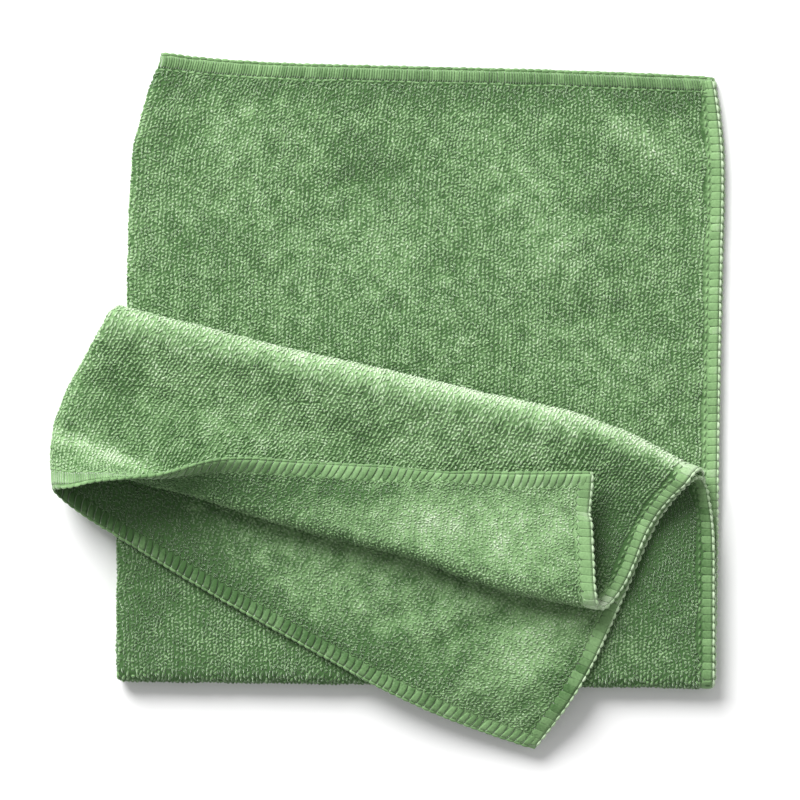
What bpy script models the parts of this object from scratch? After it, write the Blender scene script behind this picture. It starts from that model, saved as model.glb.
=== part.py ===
"""A square microfibre cleaning cloth, lying folded on a flat surface, as one closed solid.

The cloth is folded in half down its middle, which makes a doubled strip. The strip lies flat,
turns back over itself at the bottom, runs up to a slanting ridge and comes down again over the
top. There the two layers part: the lower one lies flat to its corner, and the upper one is
turned back on itself and flares open at the left, so that the end of the fold is a mouth.

Every point starts on the flat cloth and is carried by the same few steps: fold in half, turn
back the upper flap, roll over the ridge, roll over the bottom turn, lie down. Lengths are in
metres, +Z is up, and the origin is the middle of the bottom of the folded cloth.
"""

import math

import bmesh
import bpy
import numpy as np

MM = 0.001

# The cloth as it is cut
CLOTH_LENGTH = 400 * MM
HALF_WIDTH = 198 * MM
THICKNESS = 2.0 * MM
HEM_WIDTH = 6 * MM
HEM_THICKNESS = 1.6 * MM
HEM_STEP = 2 * MM  # from the sewn hem to the full pile

# The sewn hems draw the cloth in, so its ends bulge: how far down the strip its two ends lie, by
# distance from the left fold, below 0 in the lower layer
ENDS = {
    "across": (-198, -170, -130, -80, -30, -10, 0, 12, 30, 66, 120, 160, 198),
    "top": (1, 0.3, 0, 0, -0.5, -1.5, -2.5, -1.5, -0.5, 0, 0, 0.3, 1),
    "end": (394, 398.5, 401, 401, 399.5, 398.5, 397, 396, 395, 393.5, 398.5, 401.5, 395.5),
}

# How much the cross hems narrow the doubled strip, by distance down it: at the left fold, at the
# lower layer's side hem and at the upper layer's
DRAWN_IN = {
    "down": (0, 12, 25, 50, 300, 345, 370, 378, 385, 392, 400),
    "fold": (9.0, 4.9, 1.8, 0, 0, 0, 0.8, 2.4, 5.2, 9.0, 14.0),
    "lower": (4.5, 2.3, 0.7, 0, 0, 0, 0.4, 0.8, 1.3, 1.9, 2.6),
    "upper": (5.2, 3.0, 1.4, 0.7, 1.5, 4.2, 7.4, 7.4, 6.4, 5.2, 4.0),
}

# How the layers lie
LAYER_GAP = 0.5 * MM
LAYER_PITCH = THICKNESS + LAYER_GAP
STRIP_MIDDLE = THICKNESS + LAYER_GAP / 2  # height of the doubled strip's middle, on the surface

# Each fold's line: how far down the strip it starts, at the left fold and at the side hem
TURN_LINE = (202.0 * MM, 199.6 * MM)
RIDGE_LINE = (323.0 * MM, 271.5 * MM)
FLAP_LINE = (384.0 * MM, 334.5 * MM)

# Bottom turn
TURN_RADIUS = LAYER_PITCH
TURN_LENGTH = math.pi * TURN_RADIUS

# Ridge: its roll and how it settles
RIDGE_RADIUS = 5.0 * MM
RIDGE_DIP = math.radians(15)
RIDGE_SLOPE = 16 * MM
RIDGE_SETTLE_RADIUS = 20 * MM
RIDGE_ROLL = RIDGE_RADIUS * (math.pi + RIDGE_DIP)
RIDGE_SECTIONS = (
    (RIDGE_ROLL, math.pi + RIDGE_DIP),
    (RIDGE_SLOPE, 0.0),
    (RIDGE_SETTLE_RADIUS * RIDGE_DIP, -RIDGE_DIP),
)

# How the upper flap is turned back, by distance from the left fold: how far it turns, the length
# of the band that bends, and how far its line bows out
FLAP_TURN = {
    "across": (0, 12, 22, 34, 43, 56, 72, 90, 120, 160, 198),
    "degrees": (0, 34, 62, 88, 106, 134, 166, 182, 187, 186, 182),
    "band": (13, 12, 11, 11, 11, 11, 12, 13, 15, 16, 16),
    "bow": (-5, -5, -4, -3, -2, -1, 0.5, 2.0, 3.4, 4.0, 0),
}

FLAP_LEAST_END = 1 * MM  # cloth left between the bend and the hem's step, in the mesh

# Where the strip lies: its left fold and top hem, and its turn on the surface
FOLD_X = -84.35 * MM
TOP_Y = 113.34 * MM
LAY_TURN = math.radians(-1.4)

# How far the overhanging ends drop, by distance past the strip's first run
DROP = {
    "past": (-6, 0, 6, 14, 24, 40),
    "corner": (0, 0, 0.6, 3.0, 6.0, 8.0),
    "fold": (0, 0, 0.3, 2.0, 4.0, 6.0),
}

# How wide the left fold opens, by distance down the strip: its radius
FOLD_OPENING = {
    "down": (0, 330, 350, 370, 385, 400),
    "radius": (1.25, 1.25, 1.8, 3.2, 4.8, 6.4),
}
FOLD_SETTLE_RUN = 25 * MM
FOLD_SETTLE_ARC = 8 * MM

# Soft swells of the upper layer: where each lies on the strip, its reach and its rise
SWELLS = {
    "across": (146, 158, 42, 98, 30, 176, 70, 62, 118),
    "down": (58, 20, 26, 84, 66, 104, 16, 352, 334),
    "reach": (36, 24, 26, 34, 26, 20, 18, 24, 20),
    "rise": (1.8, 1.3, 1.1, 1.6, 1.2, 1.0, 0.8, 1.6, 1.2),
}

# Pulls by hand on the folded cloth: where on the strip each one holds a layer, its reach across and
# down the strip, and how far it moves the place it holds
PULLS = {
    "across": (150, -150, 100, -100, 198, -198, 198, -198, -198, 198, 198, 198, 18),
    "strip": (291, 291, 303, 303, 279, 279, 306, 306, 338, 350, 374, 397, 396),
    "wide": (34, 34, 40, 40, 20, 20, 26, 26, 26, 18, 16, 22, 16),
    "long": (16, 16, 16, 16, 16, 16, 24, 24, 22, 14, 16, 16, 14),
    "x": (0.8, 0.8, 0.4, 0.4, -2.0, -2.0, -5.4, -5.3, -2.4, -3.5, -2.0, -1.8, 0),
    "y": (3.2, 3.2, 1.6, 1.6, -3.5, -3.5, 1.8, 1.8, 0.5, 0.5, 0, 0, 3.0),
    "z": (1.2, 1.2, 0.8, 0.8, 0.5, 0.5, 0, 0, 0, 0, 0, 0, -1.0),
}

# Steps of the mesh between the named lines down the strip
ROWS = (
    ("top_edge", "top_hem", 1),
    ("top_hem", "top_pile", 1),
    ("top_pile", "turn_start", 13),
    ("turn_start", "turn_end", 7),
    ("turn_end", "ridge_start", 6),
    ("ridge_start", "ridge_over", 9),
    ("ridge_over", "ridge_settled", 3),
    ("ridge_settled", "flap_start", 2),
    ("flap_start", "flap_over", 7),
    ("flap_over", "end_hem", 4),
    ("end_hem", "end_edge", 1),
)

# Distances from the left fold at which the mesh has a column
COLUMNS = {
    "at_fold": (0, 0.65, 1.3, 2, 3.5, 5.5, 8, 12, 18, 25),
    "between": (31, 37, 43, 50, 58, 68, 82, 98, 115, 132, 149, 166, 180),
    "at_hem": (190, 192, 198),
}

CLOTH_COLOUR = (0.21, 0.40, 0.16, 1.0)
CLOTH_ROUGHNESS = 0.95


def curve_through(xs, ys, at):
    """Value of a smooth curve through the table's rows, flat beyond its ends."""
    xs, ys, at = np.asarray(xs, float), np.asarray(ys, float), np.clip(at, xs[0], xs[-1])
    slopes = np.gradient(ys, xs)
    steps = np.diff(ys) / np.diff(xs)
    slopes[1:-1][steps[1:] * steps[:-1] <= 0] = 0.0
    row = np.clip(np.searchsorted(xs, at, side="right") - 1, 0, len(xs) - 2)
    width = xs[row + 1] - xs[row]
    t = (at - xs[row]) / width
    return (
        ys[row] * (1 + 2 * t) * (1 - t) ** 2
        + ys[row + 1] * t * t * (3 - 2 * t)
        + width * slopes[row] * t * (1 - t) ** 2
        - width * slopes[row + 1] * t * t * (1 - t)
    )


def smooth_step(value, low, high):
    """0 below low, 1 above high, and a soft ramp between them."""
    t = np.clip((value - low) / (high - low), 0, 1)
    return t * t * (3 - 2 * t)


def roll(distance, depth, sections, passed=False):
    """Carries a flat sheet along a section made of arcs and straight runs.

    distance is how far a point lies past the start of the section, and depth how far it lies
    above the sheet's middle. Each section is (length, turn), and a turn above 0 rolls the sheet
    upward. A point that has passed goes on straight from the end of the section, wherever it
    lies. Returns the point's run along the first heading and its height.
    """
    run = np.where(passed, 0.0, np.minimum(distance, 0.0))
    height = np.zeros_like(run)
    heading = np.zeros_like(run)
    left = np.where(passed, distance, np.maximum(distance, 0.0))
    for length, turn in sections:
        step = np.where(passed, length, np.minimum(left, length))
        bent = step / np.maximum(length, 1e-9) * turn
        chord = step * np.sinc(bent / (2 * math.pi))
        run = run + chord * np.cos(heading + bent / 2)
        height = height + chord * np.sin(heading + bent / 2)
        heading = heading + bent
        left = left - step
    run = run + left * np.cos(heading) - depth * np.sin(heading)
    height = height + left * np.sin(heading) + depth * np.cos(heading)
    return run, height


def table_row(table, name, at):
    """Smooth value of a table's named column, where its first column is distance in mm."""
    return curve_through(next(iter(table.values())), table[name], at / MM)


def ends_down_the_strip(across):
    """How far down the strip the cloth's two ends lie."""
    return table_row(ENDS, "top", across) * MM, table_row(ENDS, "end", across) * MM


def fold_in_half(across, down, depth):
    """Flat cloth to the doubled strip: across runs from the lower layer's side hem, below 0, to
    the upper one's, and depth from the outer face, below 0, to the inner one."""
    radius = table_row(FOLD_OPENING, "radius", down) * MM
    rise = 2 * radius - LAYER_PITCH
    dip = np.maximum(np.arctan2(rise, FOLD_SETTLE_RUN), 1e-4)
    arc_drop = FOLD_SETTLE_ARC * np.sinc(dip / (2 * math.pi)) * np.sin(dip / 2)
    slope = np.maximum((radius * (1 + np.cos(dip)) - LAYER_PITCH - arc_drop) / np.sin(dip), 0.0)
    sections = (
        (radius * (math.pi + dip), math.pi + dip),
        (slope, 0.0),
        (FOLD_SETTLE_ARC, -dip),
    )
    run, height = roll(across + radius * math.pi / 2, depth, sections)
    return radius - run, down, height - LAYER_PITCH / 2


def draw_in(points, across):
    """Narrows the doubled strip where the cross hems draw it in."""
    x, y, z = points
    fold = table_row(DRAWN_IN, "fold", y)
    upper_share = smooth_step(across, -HALF_WIDTH / 4, HALF_WIDTH / 4)
    lower, upper = table_row(DRAWN_IN, "lower", y), table_row(DRAWN_IN, "upper", y)
    side = lower + (upper - lower) * upper_share
    return fold * MM + x * (HALF_WIDTH - (fold + side) * MM) / HALF_WIDTH, y, z


def beyond_line(points, line):
    """How far each point lies along a fold's line and beyond it."""
    along = np.array([HALF_WIDTH, line[1] - line[0]])
    along = along / np.linalg.norm(along)
    beside = points[0] * along[0] + (points[1] - line[0]) * along[1]
    beyond = (points[1] - line[0]) * along[0] - points[0] * along[1]
    return beside, beyond, along


def roll_past(points, line, sections, side, passed=False, bow=0.0):
    """Rolls the strip past a fold's line: over its upper layer, or under its lower one where side
    is -1."""
    beside, beyond, along = beyond_line(points, line)
    run, height = roll(beyond - bow, side * points[2], sections, passed)
    run = run + bow
    return (
        beside * along[0] - run * along[1],
        line[0] + beside * along[1] + run * along[0],
        side * height,
    )


def turn_back_flap(points, across, level):
    """Turns the upper layer's end back over itself, by less towards the left fold, from the level
    that the middle of its sheet lies at."""
    turn = np.radians(table_row(FLAP_TURN, "degrees", across))
    band = table_row(FLAP_TURN, "band", across) * MM
    bow = table_row(FLAP_TURN, "bow", across) * MM
    x, y, z = points
    turned = roll_past((x, y, z - level), FLAP_LINE, ((band, turn),), 1, bow=bow)
    return turned[0], turned[1], turned[2] + level


def swell_upper_layer(points):
    """Raises soft swells in everything that lies over the lower layer."""
    x, y, z = points
    rise = np.zeros_like(z)
    for at_x, at_y, reach, height in zip(*SWELLS.values()):
        spread = ((x / MM - at_x) ** 2 + (y / MM - at_y) ** 2) / reach**2
        rise += height * MM * np.clip(1 - spread, 0, 1) ** 2
    return x, y, z + rise * smooth_step(z, -LAYER_GAP / 2, LAYER_GAP / 2)


def drop_overhangs(points, over_ridge):
    """Lets what hangs past the bottom turn and the left fold sink."""
    x, y, z = points
    past_turn = y - TURN_LINE[1] - TURN_RADIUS - THICKNESS
    drop = table_row(DROP, "corner", past_turn) + table_row(DROP, "fold", -x)
    return x, y, z - np.where(over_ridge, drop, 0) * MM


def lie_down(points):
    """Strip to the surface it lies on."""
    x, y, z = points
    turn_cos, turn_sin = math.cos(LAY_TURN), math.sin(LAY_TURN)
    x, y = x * turn_cos + y * turn_sin, x * turn_sin - y * turn_cos
    return FOLD_X + x, TOP_Y + y, STRIP_MIDDLE + z


def pull(points, across, strip):
    """Moves the folded cloth where it is pulled by hand."""
    for at_across, at_strip, wide, long, *way in zip(*PULLS.values()):
        aside, below = across / MM - at_across, strip / MM - at_strip
        share = np.exp(-((aside / wide) ** 2) - (below / long) ** 2)
        points = points + share[..., None] * np.array(way) * MM
    return points


def folded(across, down, depth):
    """Where a point of the flat cloth lies in the folded one."""
    top, end = ends_down_the_strip(across)
    strip = top + (end - top) * down / CLOTH_LENGTH
    points = draw_in(fold_in_half(across, strip, depth), across)
    over_ridge = beyond_line(points, RIDGE_LINE)[1] > 0
    points = turn_back_flap(points, across, fold_in_half(across, strip, 0 * depth)[2])
    points = swell_upper_layer(points)
    points = roll_past(points, RIDGE_LINE, RIDGE_SECTIONS, -1)
    points = roll_past(points, TURN_LINE, ((TURN_LENGTH, math.pi),), 1, over_ridge)
    points = drop_overhangs(points, over_ridge)
    return pull(np.stack(lie_down(points), axis=-1), across, strip)


def line_down_the_strip(line, share):
    """How far down the strip a fold's line lies, from 0 at the left fold to 1 at the side hem."""
    return line[0] + (line[1] - line[0]) * share


def lines_down_the_cloth(across):
    """Distance down the flat cloth of each named line."""
    share = np.abs(across) / HALF_WIDTH
    whole = np.ones_like(share)
    top, end = ends_down_the_strip(across)
    turn = line_down_the_strip(TURN_LINE, share)
    ridge = line_down_the_strip(RIDGE_LINE, share)
    flap = line_down_the_strip(FLAP_LINE, share)
    band = table_row(FLAP_TURN, "band", np.abs(across)) * MM
    bow = table_row(FLAP_TURN, "bow", np.abs(across)) * MM
    settled = RIDGE_ROLL + RIDGE_SLOPE + RIDGE_SECTIONS[2][0]
    folds = {
        "turn_start": turn,
        "turn_end": turn + TURN_LENGTH,
        "ridge_start": ridge,
        "ridge_over": ridge + RIDGE_ROLL,
        "ridge_settled": ridge + settled,
    }
    last = end - HEM_WIDTH - HEM_STEP - FLAP_LEAST_END
    folds["flap_start"] = np.minimum(flap + bow, last - band)
    folds["flap_over"] = folds["flap_start"] + band
    lines = {name: (at - top) / (end - top) * CLOTH_LENGTH for name, at in folds.items()}
    lines["top_edge"] = 0 * whole
    lines["top_hem"] = HEM_WIDTH * whole
    lines["top_pile"] = (HEM_WIDTH + HEM_STEP) * whole
    lines["end_pile"] = (CLOTH_LENGTH - HEM_WIDTH - HEM_STEP) * whole
    lines["end_hem"] = (CLOTH_LENGTH - HEM_WIDTH) * whole
    lines["end_edge"] = CLOTH_LENGTH * whole
    return lines


def cloth_grid():
    """Flat positions of the mesh's points, and the cloth's thickness at each."""
    half = np.concatenate(list(COLUMNS.values())) * MM
    across = np.concatenate([-half[:0:-1], half])
    lines = lines_down_the_cloth(across)
    rows = [lines["top_edge"]]
    for start, stop, steps in ROWS:
        for step in range(1, steps + 1):
            rows.append(lines[start] + (lines[stop] - lines[start]) * step / steps)
    down = np.array(rows)
    across = np.broadcast_to(across, down.shape).copy()
    to_edge = np.minimum(HALF_WIDTH - np.abs(across), np.minimum(down, CLOTH_LENGTH - down))
    pile = smooth_step(to_edge, HEM_WIDTH, HEM_WIDTH + HEM_STEP)
    return across, down, HEM_THICKNESS + (THICKNESS - HEM_THICKNESS) * pile


def sheet_mesh(name, outer, inner):
    """Closed mesh between two grids of points, joined round their rims."""
    rows, columns = outer.shape[:2]
    size = rows * columns
    index = np.arange(size).reshape(rows, columns)
    faces = []
    for j in range(rows - 1):
        for i in range(columns - 1):
            quad = [index[j, i], index[j, i + 1], index[j + 1, i + 1], index[j + 1, i]]
            faces.append([int(k) for k in quad])
            faces.append([int(k) + size for k in reversed(quad)])
    rim = [*index[0, :-1], *index[:-1, -1], *index[-1, :0:-1], *index[:0:-1, 0]]
    for k, start in enumerate(rim):
        stop = rim[(k + 1) % len(rim)]
        faces.append([int(stop), int(start), int(start) + size, int(stop) + size])
    points = np.concatenate([outer.reshape(-1, 3), inner.reshape(-1, 3)])
    mesh = bpy.data.meshes.new(name)
    mesh.from_pydata(points.tolist(), [], faces)
    work = bmesh.new()
    work.from_mesh(mesh)
    bmesh.ops.triangulate(work, faces=work.faces)
    bmesh.ops.recalc_face_normals(work, faces=work.faces)
    work.to_mesh(mesh)
    work.free()
    mesh.shade_smooth()
    return mesh


def cloth_material():
    """Matt green microfibre."""
    material = bpy.data.materials.new("microfibre")
    material.use_nodes = True
    shader = material.node_tree.nodes["Principled BSDF"]
    shader.inputs["Base Color"].default_value = CLOTH_COLOUR
    shader.inputs["Roughness"].default_value = CLOTH_ROUGHNESS
    shader.inputs["Metallic"].default_value = 0.0
    return material


def main():
    """Builds the cloth."""
    for old in list(bpy.data.objects):
        bpy.data.objects.remove(old)
    across, down, thickness = cloth_grid()
    outer = folded(across, down, -thickness / 2)
    inner = folded(across, down, thickness / 2)
    mesh = sheet_mesh("cloth", outer, inner)
    mesh.materials.append(cloth_material())
    cloth = bpy.data.objects.new("cloth", mesh)
    bpy.context.scene.collection.objects.link(cloth)


if __name__ == "__main__":
    main()
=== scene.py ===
"""Looks of a microfibre cleaning cloth that lies folded on a pale surface.

The cloth is one square sheet of looped microfibre with an overlocked edge. Everything on it is
placed on the flat square first, as (across, down, depth): across runs from the lower layer's side
hem, below 0, past the left fold to the upper layer's, down from the top hem to the end hem, and
depth from the outer face, below 0, to the inner one. The same folds then carry the sheet, the
loops of its pile and the stitches of its edge. Lengths are in metres, and tables hold mm.
"""

import logging
import math
from dataclasses import dataclass, replace
from enum import Enum
from typing import Any, Iterable, Mapping, Optional, Sequence, Union

import bpy
import numpy as np
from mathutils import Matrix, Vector
from mathutils.bvhtree import BVHTree


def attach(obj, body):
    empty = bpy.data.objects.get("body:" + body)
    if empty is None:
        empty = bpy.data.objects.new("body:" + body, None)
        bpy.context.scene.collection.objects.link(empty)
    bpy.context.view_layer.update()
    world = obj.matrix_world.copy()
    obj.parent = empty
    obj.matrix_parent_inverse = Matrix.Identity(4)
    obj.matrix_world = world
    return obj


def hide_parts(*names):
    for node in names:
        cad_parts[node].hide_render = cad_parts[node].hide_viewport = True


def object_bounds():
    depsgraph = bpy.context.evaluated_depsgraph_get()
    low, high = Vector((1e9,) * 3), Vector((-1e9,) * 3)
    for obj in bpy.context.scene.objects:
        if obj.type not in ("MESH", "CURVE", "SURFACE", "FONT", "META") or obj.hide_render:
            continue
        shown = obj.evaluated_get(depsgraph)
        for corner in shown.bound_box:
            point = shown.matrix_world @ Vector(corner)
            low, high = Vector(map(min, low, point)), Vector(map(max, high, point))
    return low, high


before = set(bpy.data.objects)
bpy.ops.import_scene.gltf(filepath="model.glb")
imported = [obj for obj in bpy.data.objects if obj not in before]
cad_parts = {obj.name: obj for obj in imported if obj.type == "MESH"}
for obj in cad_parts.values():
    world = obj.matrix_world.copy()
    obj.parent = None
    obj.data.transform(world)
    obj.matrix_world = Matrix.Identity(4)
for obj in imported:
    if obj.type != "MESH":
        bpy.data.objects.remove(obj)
CAD_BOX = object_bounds()

MM = 0.001
TINY = 1e-9  # stands in for 0 under a division
UP = (0.0, 0.0, 1.0)

Array = np.ndarray
Measure = Union[float, Array]
Which = Union[bool, Array]
Sections = Sequence[tuple[Measure, Measure]]
Colour = tuple[float, float, float, float]

log = logging.getLogger("cloth")


# ---------------------------------------------------------------- curves and tables


def smooth_step(value: Array, low: float, high: float) -> Array:
    """A soft ramp.

    Args:
        value: Where to read the ramp.
        low: The value up to which it is 0.
        high: The value from which it is 1.

    Returns:
        Numbers from 0 to 1.
    """
    t = np.clip((value - low) / (high - low), 0, 1)
    return t * t * (3 - 2 * t)


class Table:
    """A short table with named columns, read by rows or as smooth curves.

    Where it is read as curves, its first column rises and holds distances in mm.
    """

    def __init__(self, **columns: Sequence[float]) -> None:
        """Keeps the columns."""
        self.columns = {name: np.asarray(values, float) for name, values in columns.items()}
        self.first = next(iter(self.columns.values()))

    def rows(self) -> Iterable[tuple[float, ...]]:
        """The table's rows, one by one."""
        return zip(*self.columns.values())

    def at(self, name: str, distance: Array) -> Array:
        """Reads a column.

        Args:
            name: The column.
            distance: Where the first column is read, in metres.

        Returns:
            The column's value there, flat beyond its ends.
        """
        xs, ys = self.first, self.columns[name]
        at = np.clip(distance / MM, xs[0], xs[-1])
        slopes = np.gradient(ys, xs)
        steps = np.diff(ys) / np.diff(xs)
        slopes[1:-1][steps[1:] * steps[:-1] <= 0] = 0.0
        row = np.clip(np.searchsorted(xs, at, side="right") - 1, 0, len(xs) - 2)
        width = xs[row + 1] - xs[row]
        t = (at - xs[row]) / width
        return (
            ys[row] * (1 + 2 * t) * (1 - t) ** 2
            + ys[row + 1] * t * t * (3 - 2 * t)
            + width * slopes[row] * t * (1 - t) ** 2
            - width * slopes[row + 1] * t * t * (1 - t)
        )


@dataclass(frozen=True)
class Ripple:
    """Smooth uneven waves over the flat cloth, the same each run."""

    seed: int
    shortest: float
    longest: float
    waves: int = 22

    def at(self, across: Array, down: Array) -> Array:
        """Reads the waves.

        Args:
            across: Places on the flat cloth, from the left fold.
            down: The same places, from the top hem.

        Returns:
            The waves' height at each, about -1 to 1.
        """
        rng = np.random.default_rng(self.seed)
        total = np.zeros(np.broadcast(across, down).shape)
        for _ in range(self.waves):
            bearing, phase = rng.uniform(0, 2 * math.pi, 2)
            pace = 2 * math.pi / rng.uniform(self.shortest, self.longest)
            run = across * math.cos(bearing) + down * math.sin(bearing)
            total += np.sin(run * pace + phase)
        return total / math.sqrt(self.waves)


def along_and_beside(
    across: Array, down: Array, middle: tuple[float, float], bearing: float
) -> tuple[Array, Array]:
    """Places on the flat cloth as seen from a middle, looking along a bearing.

    Args:
        across: The places, from the left fold.
        down: The same places, from the top hem.
        middle: Where they are seen from, in mm.
        bearing: In degrees from the across direction towards the down one.

    Returns:
        How far each place lies along the bearing and beside it, in mm.
    """
    turn = math.radians(bearing)
    x, y = across / MM - middle[0], down / MM - middle[1]
    return x * math.cos(turn) + y * math.sin(turn), y * math.cos(turn) - x * math.sin(turn)


@dataclass(frozen=True)
class Crease:
    """A soft ridge or trough of the sheet, in mm on the flat cloth.

    Its middle is at (across, down), it runs at a bearing in degrees, and rise is how far it lifts
    the outer face, below 0 for a trough.
    """

    across: float
    down: float
    length: float
    width: float
    bearing: float
    rise: float

    def lift(self, across: Array, down: Array) -> Array:
        """How far the crease lifts the outer face.

        Args:
            across: Places on the flat cloth, from the left fold.
            down: The same places, from the top hem.

        Returns:
            The lift at each, in metres.
        """
        middle = (self.across, self.down)
        along, beside = along_and_beside(across, down, middle, self.bearing)
        spread = (along / (self.length / 2)) ** 4 + (beside / self.width) ** 2
        return self.rise * MM * np.exp(-spread)


# ---------------------------------------------------------------- the folds


class Face(Enum):
    """A face of the cloth, with its side of the sheet's middle."""

    OUTER = -1
    INNER = 1


@dataclass(frozen=True)
class FoldedCloth:
    """The flat square and the folds that lay it down, with the sizes of the CAD solid."""

    length: float = 400 * MM
    half_width: float = 198 * MM
    hem_width: float = 6 * MM
    hem_step: float = 2 * MM  # from the hem up to the full depth of the pile
    layer_pitch: float = 2.5 * MM
    layer_gap: float = 0.5 * MM
    thickness: float = 2.0 * MM

    # How far down the strip the two ends lie, by distance from the left fold
    ends: Table = Table(
        across=(-198, -170, -130, -80, -30, -10, 0, 12, 30, 66, 120, 160, 198),
        top=(1, 0.3, 0, 0, -0.5, -1.5, -2.5, -1.5, -0.5, 0, 0, 0.3, 1),
        end=(394, 398.5, 401, 401, 399.5, 398.5, 397, 396, 395, 393.5, 398.5, 401.5, 395.5),
    )
    # How much the cross hems narrow the doubled strip
    drawn_in: Table = Table(
        down=(0, 12, 25, 50, 300, 345, 370, 378, 385, 392, 400),
        fold=(9.0, 4.9, 1.8, 0, 0, 0, 0.8, 2.4, 5.2, 9.0, 14.0),
        lower=(4.5, 2.3, 0.7, 0, 0, 0, 0.4, 0.8, 1.3, 1.9, 2.6),
        upper=(5.2, 3.0, 1.4, 0.7, 1.5, 4.2, 7.4, 7.4, 6.4, 5.2, 4.0),
    )
    side_blend: float = 0.25  # of half the width, to each side of the fold, between the two layers

    # Each fold's line: how far down the strip it starts, at the left fold and at the side hem
    turn_line: tuple[float, float] = (202.0 * MM, 199.6 * MM)
    ridge_line: tuple[float, float] = (323.0 * MM, 271.5 * MM)
    flap_line: tuple[float, float] = (384.0 * MM, 334.5 * MM)

    turn_radius: float = 2.5 * MM
    ridge_radius: float = 5.0 * MM
    ridge_dip: float = math.radians(15)
    ridge_slope: float = 16 * MM
    ridge_settle_radius: float = 20 * MM

    # How the upper flap is turned back, by distance from the left fold
    flap_turn: Table = Table(
        across=(0, 12, 22, 34, 43, 56, 72, 90, 120, 160, 198),
        degrees=(0, 34, 62, 88, 106, 134, 166, 182, 187, 186, 182),
        band=(13, 12, 11, 11, 11, 11, 12, 13, 15, 16, 16),
        bow=(-5, -5, -4, -3, -2, -1, 0.5, 2.0, 3.4, 4.0, 0),
    )
    flap_least_end: float = 1 * MM  # of cloth between the flap's roll and its hem

    # Where the strip lies
    fold_x: float = -84.35 * MM
    top_y: float = 113.34 * MM
    lay_turn: float = math.radians(-1.4)

    # How far the overhanging ends drop, by distance past the strip's first run
    drop: Table = Table(
        past=(-6, 0, 6, 14, 24, 40),
        corner=(0, 0, 0.6, 3.0, 6.0, 8.0),
        fold=(0, 0, 0.3, 2.0, 4.0, 6.0),
    )
    # How wide the left fold opens, by distance down the strip
    fold_opening: Table = Table(
        down=(0, 330, 350, 370, 385, 400),
        radius=(1.25, 1.25, 1.8, 3.2, 4.8, 6.4),
    )
    fold_settle_run: float = 25 * MM
    fold_settle_arc: float = 8 * MM
    fold_least_dip: float = 1e-4

    # Soft swells of the upper layer: where each lies on the strip, its reach and its rise
    swells: Table = Table(
        across=(146, 158, 42, 98, 30, 176, 70, 62, 118),
        down=(58, 20, 26, 84, 66, 104, 16, 352, 334),
        reach=(36, 24, 26, 34, 26, 20, 18, 24, 20),
        rise=(1.8, 1.3, 1.1, 1.6, 1.2, 1.0, 0.8, 1.6, 1.2),
    )

    # Pulls on the folded cloth: where on the strip each one holds a layer, its reach across and down
    # the strip, and how far it moves the place it holds
    pulls: Table = Table(
        across=(150, -150, 100, -100, 198, -198, 198, -198, -198, 198, 198, 198, 18, 98, 132, 172, 135),
        strip=(291, 291, 303, 303, 279, 279, 306, 306, 338, 350, 374, 397, 396, 369, 363, 355, 372),
        wide=(34, 34, 40, 40, 20, 20, 26, 26, 26, 18, 16, 22, 16, 18, 26, 22, 45),
        long=(16, 16, 16, 16, 16, 16, 24, 24, 22, 14, 16, 16, 14, 15, 15, 15, 12),
        x=(0.8, 0.8, 0.4, 0.4, -2.0, -2.0, -5.4, -5.3, -2.4, -3.5, -1.5, -1.6, 0, 0, 0, 0, 0),
        y=(3.2, 3.2, 1.6, 1.6, -3.5, -3.5, 1.8, 1.8, 0.5, 0.5, 0, 0, 3.0, 1.0, 3.9, 1.4, 0),
        z=(1.2, 1.2, 0.8, 0.8, 0.5, 0.5, 0, 0, 0, 0, 0, 0, -1.0, 0, 0, 0, -1.6),
    )

    # The fine crumple that the solid leaves out
    crumple: Ripple = Ripple(seed=11, shortest=9 * MM, longest=34 * MM)
    crumple_rise: float = 0.11 * MM
    creases: tuple[Crease, ...] = (
        # First run, upper layer
        Crease(167, 20, length=46, width=4.5, bearing=35, rise=0.9),
        Crease(176, 12, length=22, width=6.0, bearing=30, rise=-0.5),
        Crease(163, 48, length=44, width=5.0, bearing=4, rise=-0.6),
        Crease(144, 60, length=22, width=8.0, bearing=-30, rise=0.6),
        Crease(80, 39, length=26, width=4.5, bearing=-12, rise=-0.7),
        Crease(66, 32, length=16, width=5.0, bearing=60, rise=0.4),
        Crease(107, 67, length=16, width=6.0, bearing=0, rise=-0.5),
        Crease(153, 82, length=30, width=4.5, bearing=-8, rise=-0.5),
        Crease(24, 24, length=34, width=5.0, bearing=-15, rise=-0.5),
        Crease(24, 62, length=22, width=5.0, bearing=0, rise=-0.4),
        # Third run, upper layer, before the flap
        Crease(16, 358, length=26, width=5.0, bearing=60, rise=-0.6),
        Crease(44, 352, length=30, width=4.0, bearing=75, rise=0.4),
        Crease(92, 336, length=40, width=4.0, bearing=-20, rise=-0.5),
        # Flap
        Crease(165, 375, length=26, width=2.6, bearing=88, rise=-0.5),
        Crease(120, 384, length=60, width=5.0, bearing=-8, rise=-0.5),
        # Third run, lower layer: slanting wrinkles towards the corner
        Crease(-133, 378, length=44, width=4.0, bearing=55, rise=0.55),
        Crease(-146, 372, length=48, width=3.6, bearing=55, rise=-0.6),
        Crease(-157, 370, length=52, width=3.8, bearing=52, rise=0.6),
        Crease(-172, 368, length=56, width=4.2, bearing=50, rise=-0.7),
        Crease(-185, 386, length=26, width=4.0, bearing=48, rise=0.6),
        # Second run, lower layer
        Crease(-20, 222, length=34, width=7.0, bearing=20, rise=0.5),
        Crease(-10, 238, length=26, width=5.0, bearing=80, rise=-0.4),
    )

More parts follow.
